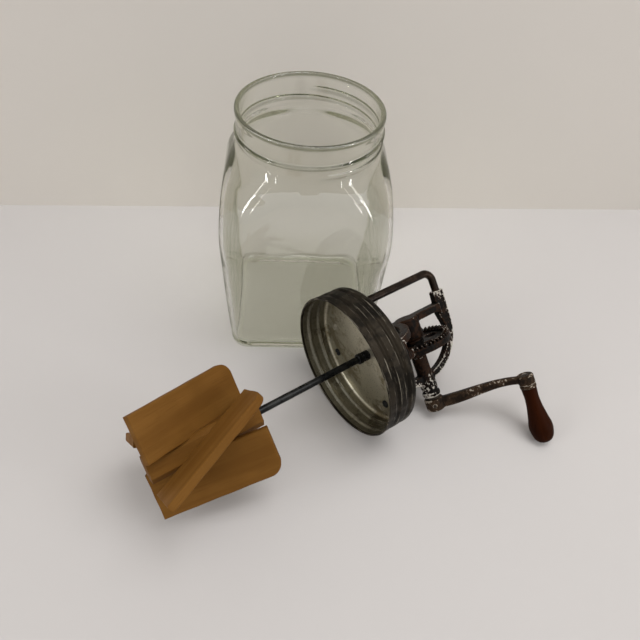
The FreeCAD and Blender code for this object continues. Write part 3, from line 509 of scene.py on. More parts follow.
def make_edge_wear_group() -> bpy.types.NodeTree:
    """Edge wear: raised edges and slow patches for rust, and small specks of bare metal.

    Each mask is a smooth step of a weighted sum of the surface's pointiness and two noises.

    Returns:
        The group.
    """
    group, given, out = new_group(
        "Edge wear", {"Patch Scale": 90.0, "Speck Scale": 600.0, "Rust": 0.3, "Bare": 0.3},
        ["Rust", "Bare"])
    tree = Tree(group)
    place = given.outputs["Vector"]
    sharpness = tree.node("NewGeometry").outputs["Pointiness"]
    raised = tree.math("SUBTRACT", sharpness, 0.5)
    patch = tree.noise(place, given.outputs["Patch Scale"], detail=5.0, rough=0.62, warp=0.5)
    speck = tree.noise(place, given.outputs["Speck Scale"], detail=3.0, rough=0.6)
    rusty = tree.weighed((patch, 0.7), (speck, 0.4), (raised, 5.0), (given.outputs["Rust"], 0.3))
    bare = tree.weighed((speck, 0.75), (patch, 0.55), (raised, 5.0), (given.outputs["Bare"], 0.3))
    tree.feed(out, {"Rust": tree.step(rusty, 0.58, 0.76), "Bare": tree.step(bare, 0.80, 0.86)})
    return group


def make_grain_group() -> bpy.types.NodeTree:
    """Wood grain along the own Z axis: long bands bent by slow noise, with short dark pores.

    Returns:
        The group.
    """
    group, given, out = new_group("Wood grain", {"Band Scale": 60.0, "Pore Scale": 700.0},
                                  ["Bands", "Pores", "Blotches"])
    tree = Tree(group)
    place = given.outputs["Vector"]
    drawn = tree.stretched(place, (1.0, 0.45, 0.07))
    bands = tree.noise(drawn, given.outputs["Band Scale"], detail=4.0, rough=0.5, warp=0.6)
    fine = tree.stretched(place, (1.0, 1.0, 0.045))
    pores = tree.noise(fine, given.outputs["Pore Scale"], detail=2.0, rough=0.5)
    blotches = tree.noise(place, scale=28.0, detail=3.0)
    tree.feed(out, {"Bands": tree.step(bands, 0.35, 0.68), "Pores": tree.step(pores, 0.55, 0.72),
                    "Blotches": tree.step(blotches, 0.35, 0.7)})
    return group


def make_spots_group() -> bpy.types.NodeTree:
    """Small spots, where fractal noise is high: a smooth step of it from one value to another.

    Returns:
        The group.
    """
    group, given, out = new_group(
        "Spots", {"Scale": 700.0, "Detail": 3.0, "Roughness": 0.55, "From": 0.6, "To": 0.7},
        ["Spots"])
    tree = Tree(group)
    noise = tree.noise(*(given.outputs[key] for key in ("Vector", "Scale", "Detail", "Roughness")))
    tree.feed(out, {"Spots": tree.step(noise, given.outputs["From"], given.outputs["To"])})
    return group


class Groups:
    """The shared node groups, each made once when first asked for."""

    made: dict[str, bpy.types.NodeTree] = {}
    makers: dict[str, Callable[[], bpy.types.NodeTree]] = {
        "wear": make_edge_wear_group, "grain": make_grain_group, "spots": make_spots_group}

    @classmethod
    def place(cls, tree: Tree, name: str, **inputs: object) -> bpy.types.NodeOutputs:
        """Put a shared group into a material, with its own values.

        Args:
            tree: the material's tree.
            name: "wear", "grain" or "spots".
            inputs: values by input name, with spaces written as underscores.

        Returns:
            The group node's outputs, by name.
        """
        if name not in cls.made:
            cls.made[name] = cls.makers[name]()
        made = tree.node("Group", node_tree=cls.made[name])
        tree.feed(made, {key.replace("_", " "): value for key, value in inputs.items()})
        return made.outputs


def new_material(name: str) -> tuple[bpy.types.Material, Tree, bpy.types.Node]:
    """A material with an empty tree but for its Principled shader and output.

    Args:
        name: the material's name.

    Returns:
        The material, its tree and its shader.
    """
    material = bpy.data.materials.new(name)
    material.use_nodes = True
    material.node_tree.nodes.clear()
    tree = Tree(material.node_tree)
    shader = tree.node("BsdfPrincipled")
    tree.node("OutputMaterial", {"Surface": shader.outputs[0]})
    return material, tree, shader


def rgba(red: float, green: float, blue: float) -> Colour:
    """A colour with full cover, in linear light."""
    return (red, green, blue, 1.0)


@dataclass(frozen=True)
class PressedGlass:
    """Clear pressed glass with a faint green cast and soft waves in its skin.

    The glass is greener where it is thick, at its lip, thread and heel, and darker there as
    painted shade; its grazing edges are darkened as painted shade too. The jar's shadow is
    light: most of the light goes through it. A ray that has bounced often inside the glass
    goes straight on through a dark green, which paints shade along the glass's contours.
    """

    tint: Colour = rgba(0.915, 0.917, 0.876)
    # The edge, thick and deep colours paint shade: on grazing edges, over the thick glass's own
    # green, and on rays that bounced often inside.
    edge: Colour = rgba(0.58, 0.60, 0.46)
    painted_edge_shade_from: float = 0.50
    thick: Colour = rgba(0.20, 0.22, 0.13)
    shadow: Colour = rgba(0.902, 0.905, 0.878)
    deep: Colour = rgba(0.43, 0.45, 0.32)
    wave_scale: float = 22.0
    wave_stretch: Point = (1.0, 1.0, 1.6)
    wave_strength: float = 0.35
    wave_depth: float = 0.0007
    roughness: float = 0.02
    ior: float = 1.5
    most_bounces: float = 4.5

    def make(self) -> bpy.types.Material:
        """Build the material: glass, and a clear shader for shadow rays and tired rays.

        Returns:
            The material.
        """
        material, tree, shader = new_material("Pressed glass")
        place = tree.stretched(tree.own_place(), self.wave_stretch)
        waves = tree.noise(place, self.wave_scale, detail=2.0)
        # Painted shade: the colour turns to the dark edge colour towards the grazing edges.
        facing = tree.node("LayerWeight", {"Blend": 0.5}).outputs["Facing"]
        colour = tree.mix(tree.step(facing, self.painted_edge_shade_from, 1.0), self.tint, self.edge)
        # Painted shade: thick glass at the lip, thread, heel and cove is darkened well past its own
        # green.
        colour = tree.mix(tree.marks_and_painted_light(), colour, self.thick)
        tree.feed(shader, {"Base Color": colour, "Roughness": self.roughness, "IOR": self.ior,
                           "Transmission Weight": 1.0,
                           "Normal": tree.bump(waves, self.wave_strength, self.wave_depth)})
        path = tree.node("LightPath").outputs
        # Painted shade: rays past the bounce limit go straight on through the dark deep colour,
        # which draws the glass's dark contour lines.
        pale = tree.math("MAXIMUM", path["Is Shadow Ray"], path["Is Diffuse Ray"])
        clear = tree.node("BsdfTransparent", {"Color": tree.mix(pale, self.deep, self.shadow)})
        tired = tree.math("GREATER_THAN", path["Ray Depth"], self.most_bounces)
        tree.show_mix(tree.math("MAXIMUM", path["Is Shadow Ray"], tired), shader, clear)
        return material


@dataclass(frozen=True)
class TarnishedTin:
    """Tin plate: outside nearly black-brown with scratches, inside grey with olive stains.

    The lid's wall, below a height given in metres, may be darker than its top: painted shade inside
    the skirt.
    """

    name: str
    ground: Colour
    stain: Colour
    bright: Colour
    stain_from: float
    roughness: float
    metallic: float
    scratch_and_painted_highlight_from: float
    scratch_and_painted_highlight_share: float
    painted_wall_shade: float = 1.0
    wall_from: float = 0.0255
    wall_to: float = 0.0280
    dot: Colour = rgba(0.02, 0.014, 0.008)
    dot_share: float = 0.7
    dent_depth: float = 0.0004
    specular: float = 0.15

    def make(self) -> bpy.types.Material:
        """Build the material: stains by slow noise, painted shade on the wall, and thin scratches
        round the lid with painted highlight lines along its grooves and curl.

        Returns:
            The material.
        """
        material, tree, shader = new_material(self.name)
        place = tree.own_place()
        slow = tree.noise(place, scale=34.0, detail=6.0, rough=0.6, warp=0.4)
        fine = tree.noise(place, scale=240.0, detail=5.0, rough=0.65)
        stain = tree.step(tree.weighed((slow, 0.75), (fine, 0.25)),
                          self.stain_from, self.stain_from + 0.13)
        colour = tree.mix(stain, self.ground, self.stain)
        # Painted shade: the colour is darkened on the wall below the lid's top.
        top = tree.step(tree.level(place), self.wall_from, self.wall_to)
        shade = rgba(self.painted_wall_shade, self.painted_wall_shade, self.painted_wall_shade)
        darker = tree.mix(1.0, colour, shade, "MULTIPLY")
        colour = tree.mix(tree.math("SUBTRACT", 1.0, top), colour, darker)
        round_lid = tree.stretched(place, (0.10, 0.10, 2.4))
        lines = tree.noise(round_lid, scale=560.0, detail=3.0, rough=0.7)
        # Scratches round the lid, more along the grooves and curl: partly wear, partly painted
        # highlight lines.
        scratches_and_painted_highlights = tree.weighed((lines, 1.0), (tree.marks_and_painted_light(), 0.13), (slow, 0.12))
        scratch_and_painted_highlight = tree.step(scratches_and_painted_highlights, self.scratch_and_painted_highlight_from, self.scratch_and_painted_highlight_from + 0.09)
        colour = tree.tinge(scratch_and_painted_highlight, self.scratch_and_painted_highlight_share, colour, self.bright)
        dots = Groups.place(tree, "spots", Vector=place, Scale=760.0, Detail=2.0, From=0.61,
                            To=0.69)
        colour = tree.tinge(dots["Spots"], self.dot_share, colour, self.dot)
        height = tree.weighed((fine, 0.6), (scratch_and_painted_highlight, -0.4))
        tree.feed(shader, {"Base Color": colour, "Metallic": self.metallic,
                           "Roughness": tree.rising(self.roughness, stain, 0.22),
                           "Normal": tree.bump(height, strength=0.4, depth=self.dent_depth),
                           "Specular IOR Level": self.specular})
        return material


@dataclass(frozen=True)
class WornIron:
    """Black cast iron with rusty brown where the black has gone, and bare bright specks.

    On the frame, the specks grow thicker from one distance from the gear's middle to
    another, and from one height to another, because the arch and the bearing's end are
    rubbed most. Distances and heights are in metres.
    """

    name: str
    rust_share: float
    bare_share: float
    black: Colour = rgba(0.0030, 0.0023, 0.0018)
    rust: Colour = rgba(0.034, 0.0150, 0.0075)
    bare: Colour = rgba(0.46, 0.43, 0.38)
    dust: Colour = rgba(0.050, 0.032, 0.019)
    dust_share: float = 0.4
    rubbed_share: float = 0.0
    rubbed_from: float = 0.036
    rubbed_to: float = 0.050
    rubbed_above: float = 0.056
    rubbed_fully_above: float = 0.066
    roughness: float = 0.42
    cast_depth: float = 0.0009
    specular: float = 0.07

    def make(self) -> bpy.types.Material:
        """Build the material: rust by edges and patches, bare metal by specks.

        Returns:
            The material.
        """
        material, tree, shader = new_material(self.name)
        place = tree.own_place()
        middle = (0.0, 0.0, POSE.crank_level * MM)
        reach = tree.node("VectorMath", {0: place, 1: middle}, operation="DISTANCE")
        outer = tree.step(reach.outputs["Value"], self.rubbed_from, self.rubbed_to)
        high = tree.step(tree.level(place), self.rubbed_above, self.rubbed_fully_above)
        outer = tree.math("MULTIPLY", outer, high)
        wear = Groups.place(tree, "wear", Vector=place, Patch_Scale=85.0, Speck_Scale=420.0,
                            Rust=self.rust_share,
                            Bare=tree.rising(self.bare_share, outer, self.rubbed_share))
        colour = tree.tinge(wear["Rust"], 0.85, self.black, self.rust)
        dust = Groups.place(tree, "spots", Vector=place, Scale=330.0, Detail=5.0, Roughness=0.7,
                            From=0.54, To=0.76)
        colour = tree.tinge(dust["Spots"], self.dust_share, colour, self.dust)
        colour = tree.mix(wear["Bare"], colour, self.bare)
        grain = tree.noise(place, scale=900.0, detail=3.0, rough=0.6)
        lumps = tree.noise(place, scale=210.0, detail=3.0)
        height = tree.rising(lumps, grain, 0.35)
        tree.feed(shader, {"Base Color": colour,
                           "Roughness": tree.rising(self.roughness, wear["Rust"], 0.15),
                           "Normal": tree.bump(height, strength=0.6, depth=self.cast_depth),
                           "Specular IOR Level": self.specular})
        return material


@dataclass(frozen=True)
class BrownedSteel:
    """Smooth steel rod and fittings, browned with age and lightly polished by hands."""

    name: str
    dark: Colour
    light: Colour
    roughness: float = 0.32
    pit: Colour = rgba(0.012, 0.008, 0.006)
    pit_share: float = 0.7
    line_depth: float = 0.0003
    metallic: float = 0.45
    specular: float = 0.18

    def make(self) -> bpy.types.Material:
        """Build the material: slow colour change, and fine lines along the own Z axis.

        Returns:
            The material.
        """
        material, tree, shader = new_material(self.name)
        place = tree.own_place()
        slow = tree.step(tree.noise(place, scale=60.0, detail=5.0, rough=0.6), 0.38, 0.68)
        along_rod = tree.stretched(place, (1.0, 1.0, 0.08))
        lines = tree.noise(along_rod, scale=900.0, detail=3.0, rough=0.6)
        colour = tree.mix(slow, self.dark, self.light)
        pits = Groups.place(tree, "spots", Vector=place, Scale=800.0, Detail=3.0, From=0.60,
                            To=0.70)
        colour = tree.tinge(pits["Spots"], self.pit_share, colour, self.pit)
        tree.feed(shader, {"Base Color": colour, "Metallic": self.metallic,
                           "Roughness": tree.rising(self.roughness, slow, 0.12),
                           "Normal": tree.bump(lines, strength=0.18, depth=self.line_depth),
                           "Specular IOR Level": self.specular})
        return material


@dataclass(frozen=True)
class BareWood:
    """Close-grained worn wood: long soft grain, fine pores and slow blotches."""

    name: str
    light: Colour
    dark: Colour
    blotch: Colour
    roughness: float = 0.55
    band_scale: float = 60.0
    grain_depth: float = 0.0003
    specular: float = 0.08

    def make(self) -> bpy.types.Material:
        """Build the material: bands, blotches and pores over each other, and darker edges.

        Returns:
            The material.
        """
        material, tree, shader = new_material(self.name)
        grain = Groups.place(tree, "grain", Vector=tree.own_place(), Band_Scale=self.band_scale,
                             Pore_Scale=900.0)
        colour = tree.tinge(grain["Bands"], 0.55, self.light, self.dark)
        colour = tree.tinge(grain["Blotches"], 0.45, colour, self.blotch)
        colour = tree.tinge(grain["Pores"], 0.35, colour, self.dark)
        edge = tree.node("NewGeometry").outputs["Pointiness"]
        colour = tree.tinge(tree.step(edge, 0.52, 0.60), 0.35, colour, self.dark)
        height = tree.math("SUBTRACT", grain["Bands"], grain["Pores"])
        tree.feed(shader, {"Base Color": colour,
                           "Roughness": tree.rising(self.roughness, grain["Bands"], 0.1),
                           "Normal": tree.bump(height, strength=0.18, depth=self.grain_depth),
                           "Specular IOR Level": self.specular})
        return material


class Finish(Enum):
    """Every finish on the churn."""

    GLASS = PressedGlass()
    TIN_OUTSIDE = TarnishedTin(
        "Tin outside", ground=rgba(0.024, 0.0185, 0.0120), stain=rgba(0.008, 0.0063, 0.0042),
        bright=rgba(0.30, 0.27, 0.215), stain_from=0.44, roughness=0.42, metallic=0.5,
        scratch_and_painted_highlight_from=0.71, scratch_and_painted_highlight_share=0.6)
    # Its wall is darkened as painted shade.
    TIN_INSIDE = TarnishedTin(
        "Tin inside", ground=rgba(0.54, 0.505, 0.39), stain=rgba(0.25, 0.215, 0.137),
        bright=rgba(0.80, 0.76, 0.66), stain_from=0.48, roughness=0.31, metallic=0.85,
        scratch_and_painted_highlight_from=0.69, scratch_and_painted_highlight_share=0.7, painted_wall_shade=0.36)
    IRON = WornIron("Frame iron", rust_share=0.25, bare_share=-0.30, rubbed_share=0.67)
    GEAR_IRON = WornIron("Gear iron", rust_share=0.10, bare_share=-0.35)
    CRANK_IRON = WornIron(
        "Crank iron", rust_share=0.30, bare_share=0.0, black=rgba(0.0110, 0.0068, 0.0042),
        rust=rgba(0.046, 0.027, 0.015), bare=rgba(0.36, 0.31, 0.25))
    HANDLE_STEEL = BrownedSteel("Handle steel", dark=rgba(0.010, 0.0056, 0.0034),
                                light=rgba(0.030, 0.017, 0.010), roughness=0.20)
    SHAFT_STEEL = BrownedSteel("Shaft steel", dark=rgba(0.0075, 0.0080, 0.0080),
                               light=rgba(0.024, 0.024, 0.023), roughness=0.24)
    FITTING_STEEL = BrownedSteel("Fitting steel", dark=rgba(0.018, 0.012, 0.008),
                                 light=rgba(0.060, 0.048, 0.038))
    DASHER_WOOD = BareWood("Dasher wood", light=rgba(0.192, 0.087, 0.0175),
                           dark=rgba(0.112, 0.045, 0.0070), blotch=rgba(0.128, 0.056, 0.0095))
    KNOB_WOOD = BareWood(
        "Knob wood", light=rgba(0.029, 0.0062, 0.0013), dark=rgba(0.0045, 0.0012, 0.0005),
        blotch=rgba(0.010, 0.0026, 0.0008), roughness=0.42, band_scale=90.0, specular=0.03)

    def material(self) -> bpy.types.Material:
        """The finish's material, made when first asked for.

        Returns:
            The material.
        """
        if self not in MATERIALS:
            MATERIALS[self] = self.value.make()
        return MATERIALS[self]


MATERIALS: dict[Finish, bpy.types.Material] = {}


def dress(piece: bpy.types.Object, finish: Finish, body: str, slot: str, *nodes: str) -> None:
    """Give a piece its finish and its body, and hide the solids that it stands for.

    Args:
        piece: the object.
        finish: its finish.
        body: the body that it rides on.
        slot: the record's material slot; not used.
        nodes: solids that it replaces.
    """
    piece.data.materials.clear()
    piece.data.materials.append(finish.material())
    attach(piece, body)
    if nodes:
        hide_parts(*nodes)
    LOG.info("%s: %d faces on %s", piece.name, len(piece.data.polygons), body)


# The jar

@dataclass
class GlassJar:
    """Square pressed glass jar with round shoulders and a screw neck."""

    tall: float = 233.4
    foot_half: float = 71.0
    foot_corner: float = 17.0
    belly_half: float = 77.5
    belly_corner: float = 26.0
    belly_level: float = 138.0
    neck_tall: float = 29.0
    neck_radius: float = 62.9
    mouth_radius: float = 63.6
    wall: float = 4.2
    floor_thick: float = 7.0
    base_round: float = 5.0
    cove: float = 5.5
    thread_pitch: float = 9.0
    thread_drop: float = 14.6
    thread_start: float = 93.0
    thread_turns: float = 1.5
    thread_reach: float = 1.65
    thread_half: float = 1.5
    lip_round: float = 2.1
    foot_hollow: float = 1.4
    hollow_half: float = 62.0
    mould_rings: tuple[float, float] = (14.0, 24.5)
    columns: int = 256
    neck_steps: int = 76

    def neck_level(self) -> float:
        """Height where the round neck starts."""
        return self.tall - self.neck_tall

    def flank(self, height: float, inset: float, corner: float) -> tuple[float, float, float]:
        """(height, half width, corner radius) on a side of the jar between foot and belly.

        The half width grows from foot to belly by a falling slope: along * (1.6 - 0.6 along).

        Args:
            height: height on the side.
            inset: distance in from the outside.
            corner: corner radius there.

        Returns:
            One row of the jar's side.
        """
        along = height / self.belly_level
        half = self.foot_half + (self.belly_half - self.foot_half) * along * (1.6 - along * 0.6)
        return height, half - inset, corner

    def shoulder(self, share: float, taper: float, inset: float,
                 corner: float) -> tuple[float, float, float]:
        """(height, half width, corner radius) at a share of the rise from belly to neck.

        Args:
            share: share of the rise, from 0 to 1.
            taper: share of the way from belly to neck radius.
            inset: distance in from the outside.
            corner: largest corner radius there.

        Returns:
            One row of the jar's shoulder.
        """
        height = self.belly_level + (self.neck_level() - self.belly_level) * share
        half = self.belly_half + (self.neck_radius - self.belly_half) * taper - inset
        return height, half, min(corner, half)

    def outside_rows(self) -> Array:
        """(height, half width, corner radius) up the outside, from the foot into the neck.

        Returns:
            The rows, from the bottom up.
        """
        foot, belly = self.foot_corner, self.belly_corner
        corners = [foot + (belly - foot) * along for along in (0.04, 0.33, 0.67, 1.0)]
        levels = (self.base_round, self.belly_level * 0.35, self.belly_level * 0.68,
                  self.belly_level)
        knots = [self.flank(level, 0.0, corner) for level, corner in zip(levels, corners)]
        knots += [self.shoulder(0.37, 0.10, 0.0, 38.0), self.shoulder(0.72, 0.42, 0.0, 53.0),
                  self.shoulder(0.95, 0.905, 0.0, 64.0), self.shoulder(1.01, 0.995, 0.0, 64.0),
                  (self.neck_level() + 3.6, self.neck_radius, self.neck_radius)]
        return through(knots, 116)

    def inside_rows(self) -> Array:
        """(height, half width, corner radius) down the inside, from the bore to the cove.

        The glass is a little thicker low down and at the shoulder than at the belly, and
        its inner corners share the outer corners' centres.

        Returns:
            The rows, from the top down.
        """
        bore, foot, belly = self.mouth_radius - self.wall, self.foot_corner, self.belly_corner
        knots = [(self.neck_level() + 3.0, bore, bore),
                 (self.neck_level() - 1.6, bore + 0.2, bore + 0.2),
                 self.shoulder(0.90, 0.76, 4.8, 58.0), self.shoulder(0.70, 0.42, 4.5, 47.5),
                 self.shoulder(0.36, 0.10, 4.0, 33.5),
                 self.flank(self.belly_level, 3.8, belly - 3.8)]
        for level, inset in ((92.0, 4.2), (46.0, 4.7), (self.floor_thick + self.cove, 4.9)):
            corner = foot + (belly - foot) * level / self.belly_level
            knots.append(self.flank(level, inset, corner - inset))
        return through(knots, 104)

    def ring(self, angle: Array, half: Array, corner: Array) -> Array:
        """Distance from the axis to a rounded square's edge, at each angle.

        The angle is folded into one eighth of a turn, where the edge is the flat side, or the
        corner's arc: with its centre at (flat, flat), the distance is flat * (cos + sin) +
        sqrt(flat squared * (cos + sin) squared - 2 flat squared + corner squared).

        Args:
            angle: angles round the axis.
            half: half width of the square.
            corner: radius of its corners.

        Returns:
            The distances.
        """
        folded = np.abs((angle + np.pi / 4) % (np.pi / 2) - np.pi / 4)
        cosine, sine = np.cos(folded), np.sin(folded)
        flat = half - corner
        side = half / cosine
        total = flat * (cosine + sine)
        arc = total + np.sqrt(np.maximum(total ** 2 - 2 * flat ** 2 + corner ** 2, 0.0))
        return np.where(side * sine <= flat, side, arc)

    def neck_rows(self) -> Array:
        """(height, radius) up the outside of the neck, over the lip and down into the bore.

        Returns:
            The rows, in order.
        """
        lip, top, level = self.mouth_radius, self.tall, self.neck_level()
        rise = np.linspace(level + 4.2, top - self.lip_round, self.neck_steps)
        swell = eased((rise - (top - 9.0)) / 6.0) * (lip - self.neck_radius)
        outside = np.stack([rise, self.neck_radius + swell], axis=-1)
        turn = np.linspace(0.0, np.pi, 17)[1:]
        half_lip = self.wall / 2
        over = np.stack([top - self.lip_round + self.lip_round * np.sin(turn),
                         lip - half_lip + half_lip * np.cos(turn)], axis=-1)
        fall = np.linspace(top - 4.0, level + 3.8, 14)
        bore = np.stack([fall, np.full(len(fall), lip - self.wall)], axis=-1)
        return np.concatenate([outside, over, bore])

    def thread(self, angle: Array, height: Array) -> Array:
        """How far the thread's ridge stands out: a helix that falls by one pitch a turn.

        The ridge is its reach times a bell curve of the height, faded at both ends.

        Args:
            angle: angles round the axis.
            height: heights.

        Returns:
            The ridge's reach at each angle and height.
        """
        ridge = np.zeros(np.broadcast(angle, height).shape)
        first = (math.radians(self.thread_start) - angle) % (2 * np.pi) / (2 * np.pi)
        for lap in (0, 1):
            turned = first + lap
            fade = np.clip(turned / 0.05, 0, 1) * np.clip((self.thread_turns - turned) / 0.05, 0, 1)
            middle = self.tall - self.thread_drop - self.thread_pitch * turned
            ridge = ridge + self.thread_reach * fade * bell(height, middle, self.thread_half)
        return ridge

    def foot_rows(self) -> Array:
        """(height, half width, corner radius) out over the underside and round the heel.

        The underside has two faint rings where the mould's plunger met it.

        Returns:
            The rows, from the middle outwards.
        """
        half = np.array([3.0, 7.0, 10.0, 12.0, 13.0, 14.0, 15.0, 17.0, 20.0, 22.5, 23.5, 24.5,
                         25.5, 27.5, 32.0, 42.0, 52.0, 56.0, 58.5, 60.5, 62.0])
        rings = sum(bell(half, ring, 0.8) for ring in self.mould_rings)
        height = self.foot_hollow * eased((self.hollow_half - half) / 6.0) - 0.35 * rings
        round_share = np.clip((half - 27.0) / 25.0, 0.0, 1.0)
        corner = half * (1 - round_share) + 13.0 * round_share
        low = np.stack([height, half, corner], axis=-1)
        bend = np.linspace(0.0, np.pi / 2, 10)[:-1]
        inset = self.base_round * (1 - np.sin(bend))
        heel_half = self.flank(self.base_round, 0.0, 0.0)[1] - inset
        heel = np.stack([self.base_round * (1 - np.cos(bend)), heel_half,
                         self.foot_corner + 0.36 - inset], axis=-1)
        return np.concatenate([low, heel])

    def floor_rows(self, last: Array) -> Array:
        """(height, half width, corner radius) round the cove and in over the floor.

        Args:
            last: the last row of the inside's wall.

        Returns:
            The rows, from the wall inwards.
        """
        bend = np.linspace(0.0, np.pi / 2, 9)[1:]
        inset = self.cove * (1 - np.cos(bend))
        cove = np.stack([self.floor_thick + self.cove * (1 - np.sin(bend)), last[1] - inset,
                         last[2] - inset * 0.6], axis=-1)
        floor = np.array([(self.floor_thick - 0.1, 50.0, 9.0), (self.floor_thick - 0.3, 30.0, 12.0),
                          (self.floor_thick - 0.4, 8.0, 8.0)])
        return np.concatenate([cove, floor])

    def square_grid(self, angle: Array, rows: Array) -> Array:
        """Grid of points on rounded squares, one for each (height, half width, corner).

        Args:
            angle: angles round the axis.
            rows: height, half width and corner radius of each square.

        Returns:
            The grid, one row of points for each square.
        """
        radius = self.ring(angle, rows[:, 1:2], rows[:, 2:3])
        height = np.broadcast_to(rows[:, :1], radius.shape)
        return np.stack([radius * np.cos(angle), radius * np.sin(angle), height], axis=-1)

    def thickness_and_painted_shade(self, grid: Array, angle: Array, inner: Array) -> Array:
        """How thick the glass is round each point, from 0 on the walls to 1 at the lip.

        The lip's sides, the thread's underside, the heel and the cove each add a bell curve
        of the height. The values give the glass more green there, and painted shade.

        Args:
            grid: the jar's points.
            angle: angles of its columns.
            inner: which rows are inside the jar.

        Returns:
            One value for each point, and one for each of the two poles.
        """
        height = grid[..., 2]
        lip = bell(height, self.tall - 2.2, 1.4)
        ridge = self.thread(angle, height + 1.4) / self.thread_reach
        heel = 0.25 * bell(height, self.base_round, 4.0)
        cove = 0.30 * bell(height, self.floor_thick + 1.8, 2.0)
        thick = np.maximum(lip, np.where(inner, cove, 0.6 * ridge + heel))
        poles = [0.0, 0.0]
        return np.append(np.clip(thick, 0.0, 1.0).ravel(), poles)

    def build(self) -> None:
        """Make the jar as one closed skin: foot, outside, neck, lip, inside and floor."""
        angle = round_angles(self.columns)[None, :]
        neck, inside = self.neck_rows(), self.inside_rows()
        height = np.broadcast_to(neck[:, :1], (len(neck), self.columns))
        outer = (np.arange(len(neck)) < self.neck_steps)[:, None]
        radius = neck[:, 1:2] + outer * self.thread(angle, height)
        neck_grid = np.stack([radius * np.cos(angle), radius * np.sin(angle), height], axis=-1)
        outside = self.square_grid(angle, self.outside_rows())
        outside_radius = np.linalg.norm(outside[..., :2], axis=-1)
        ridge = self.thread(angle, outside[..., 2])
        outside[..., :2] *= ((outside_radius + ridge) / outside_radius)[..., None]
        outer_part = [self.square_grid(angle, self.foot_rows()), outside, neck_grid]
        grid = np.concatenate(outer_part + [self.square_grid(angle, inside),
                                            self.square_grid(angle, self.floor_rows(inside[-1]))])
        inner = (np.arange(len(grid)) >= sum(len(part) for part in outer_part))[:, None]
        skin = Skin.from_grid(grid, np.array([0, 0, self.foot_hollow]),
                              np.array([0, 0, self.floor_thick - 0.4]))
        # The thickness values set the glass's green and its painted shade.
        jar = make_piece("jar_glass", skin, Place(), 80.0, self.thickness_and_painted_shade(grid, angle, inner))
        dress(jar, Finish.GLASS, "jar", "jar_glass", "glass_jar")


# The lid and what is fixed to it

@dataclass
class ScrewLid:
    """Pressed tin lid with a curled rim, and two grooves rolled inwards as its thread."""

    rim_radius: float = 66.4
    skirt_radius: float = 66.0
    tall: float = 30.0
    thick: float = 0.8
    curl: float = 0.85
    shoulder: float = 4.0
    groove_levels: tuple[float, float] = (9.6, 20.7)
    groove_depth: float = 1.3
    groove_half: float = 3.1
    bore: float = 4.6
    top_steps: tuple[float, ...] = (54.0, 40.0, 20.0)
    wall_steps: int = 72
    columns: int = 240

    def skirt(self, height: Array) -> Array:
        """Radius of the skirt's outside: a straight wall less two grooves.

        Each groove is half its depth times (1 + cos(pi * distance / half width)), out to
        its half width.

        Args:
            height: heights from the open rim.

        Returns:
            The radii.
        """
        away = np.abs(height[:, None] - np.array(self.groove_levels)) / self.groove_half
        sunk = 0.5 * (1 + np.cos(np.pi * np.minimum(away, 1.0)))
        return self.skirt_radius - self.groove_depth * sunk.sum(axis=1)

    def marks_and_painted_light(self, height: Array, inner: Array) -> Array:
        """Bright marks for each row: outside, the curl and the grooves' brows, partly rubbed tin
        and partly painted highlight; inside, thin painted highlight lines on the grooves' backs.

        Args:
            height: heights from the open rim.
            inner: which rows are inside the lid.

        Returns:
            One value for each row, from 0 to 1.
        """
        brows = [level + side * self.groove_half * 0.95 for level in self.groove_levels
                 for side in (-1, 1)]
        outside = np.maximum.reduce([bell(height, brow, 0.6) for brow in brows])
        inside = np.maximum.reduce([bell(height, level, 0.5) for level in self.groove_levels])
        return np.where(inner, inside, np.maximum(outside, bell(height, 0.0, 1.0)))

    def outside_rows(self) -> Array:
        """(radius, height) from inside the curl, round it, up the skirt and over the top.

        Returns:
            The rows, in order.
        """
        turn = np.linspace(-np.pi * 0.95, np.pi * 0.40, 18)
        centre = self.rim_radius - self.curl
        curl = np.stack([centre + self.curl * np.cos(turn),
                         self.curl + self.curl * np.sin(turn)], axis=-1)
        height = np.linspace(2.4, self.tall - self.shoulder, self.wall_steps)
        wall = np.stack([self.skirt(height), height], axis=-1)
        bend = np.linspace(0.0, np.pi / 2, 11)[1:]
        centre = self.skirt_radius - self.shoulder
        shoulder = np.stack([centre + self.shoulder * np.cos(bend),
                             self.tall + self.shoulder * (np.sin(bend) - 1)], axis=-1)
        top = np.array([(reach, self.tall) for reach in (*self.top_steps, self.bore)])
        return np.concatenate([curl, wall, shoulder, top])

    def inside_rows(self) -> Array:
        """(radius, height) from the bore over the underside, down the wall to the curl.

        Returns:
            The rows, in order.
        """
        inner_top = self.tall - self.thick
        top = np.array([(reach, inner_top) for reach in (self.bore, *self.top_steps[::-1])])
        bend = np.linspace(np.pi / 2, 0.0, 11)
        inner = self.shoulder - self.thick
        centre = self.skirt_radius - self.shoulder
        shoulder = np.stack([centre + inner * np.cos(bend),
                             inner_top + inner * (np.sin(bend) - 1)], axis=-1)
        height = np.linspace(self.tall - self.shoulder, 2.0, self.wall_steps)[1:]
        wall = np.stack([self.skirt(height) - self.thick, height], axis=-1)
        return np.concatenate([top, shoulder, wall])

    def build(self) -> None:
        """Make the lid as one ring, and give its inside the tinned finish."""
        outside, inside = self.outside_rows(), self.inside_rows()
        rows = np.concatenate([outside, inside])
        grid = round_grid(rows[:, 0], rows[:, 1], self.columns)
        skin = Skin.from_grid(grid, along=True)
        # Outside wear and painted highlight lines; inside painted highlight lines.
        marks_and_painted_light = self.marks_and_painted_light(rows[:, 1], np.arange(len(rows)) >= len(outside))
        lid = make_piece("lid_shell", skin, POSE.head(), 50.0, np.repeat(marks_and_painted_light, self.columns))
        dress(lid, Finish.TIN_OUTSIDE, "head", "tinned_steel", "screw_lid")
        lid.data.materials.append(Finish.TIN_INSIDE.material())
        row_of_face = np.arange(len(skin.quads)) // self.columns
        inner = (row_of_face >= len(outside) - 1) & (row_of_face < len(rows) - 2)
        lid.data.polygons.foreach_set("material_index", inner.astype(np.int32))


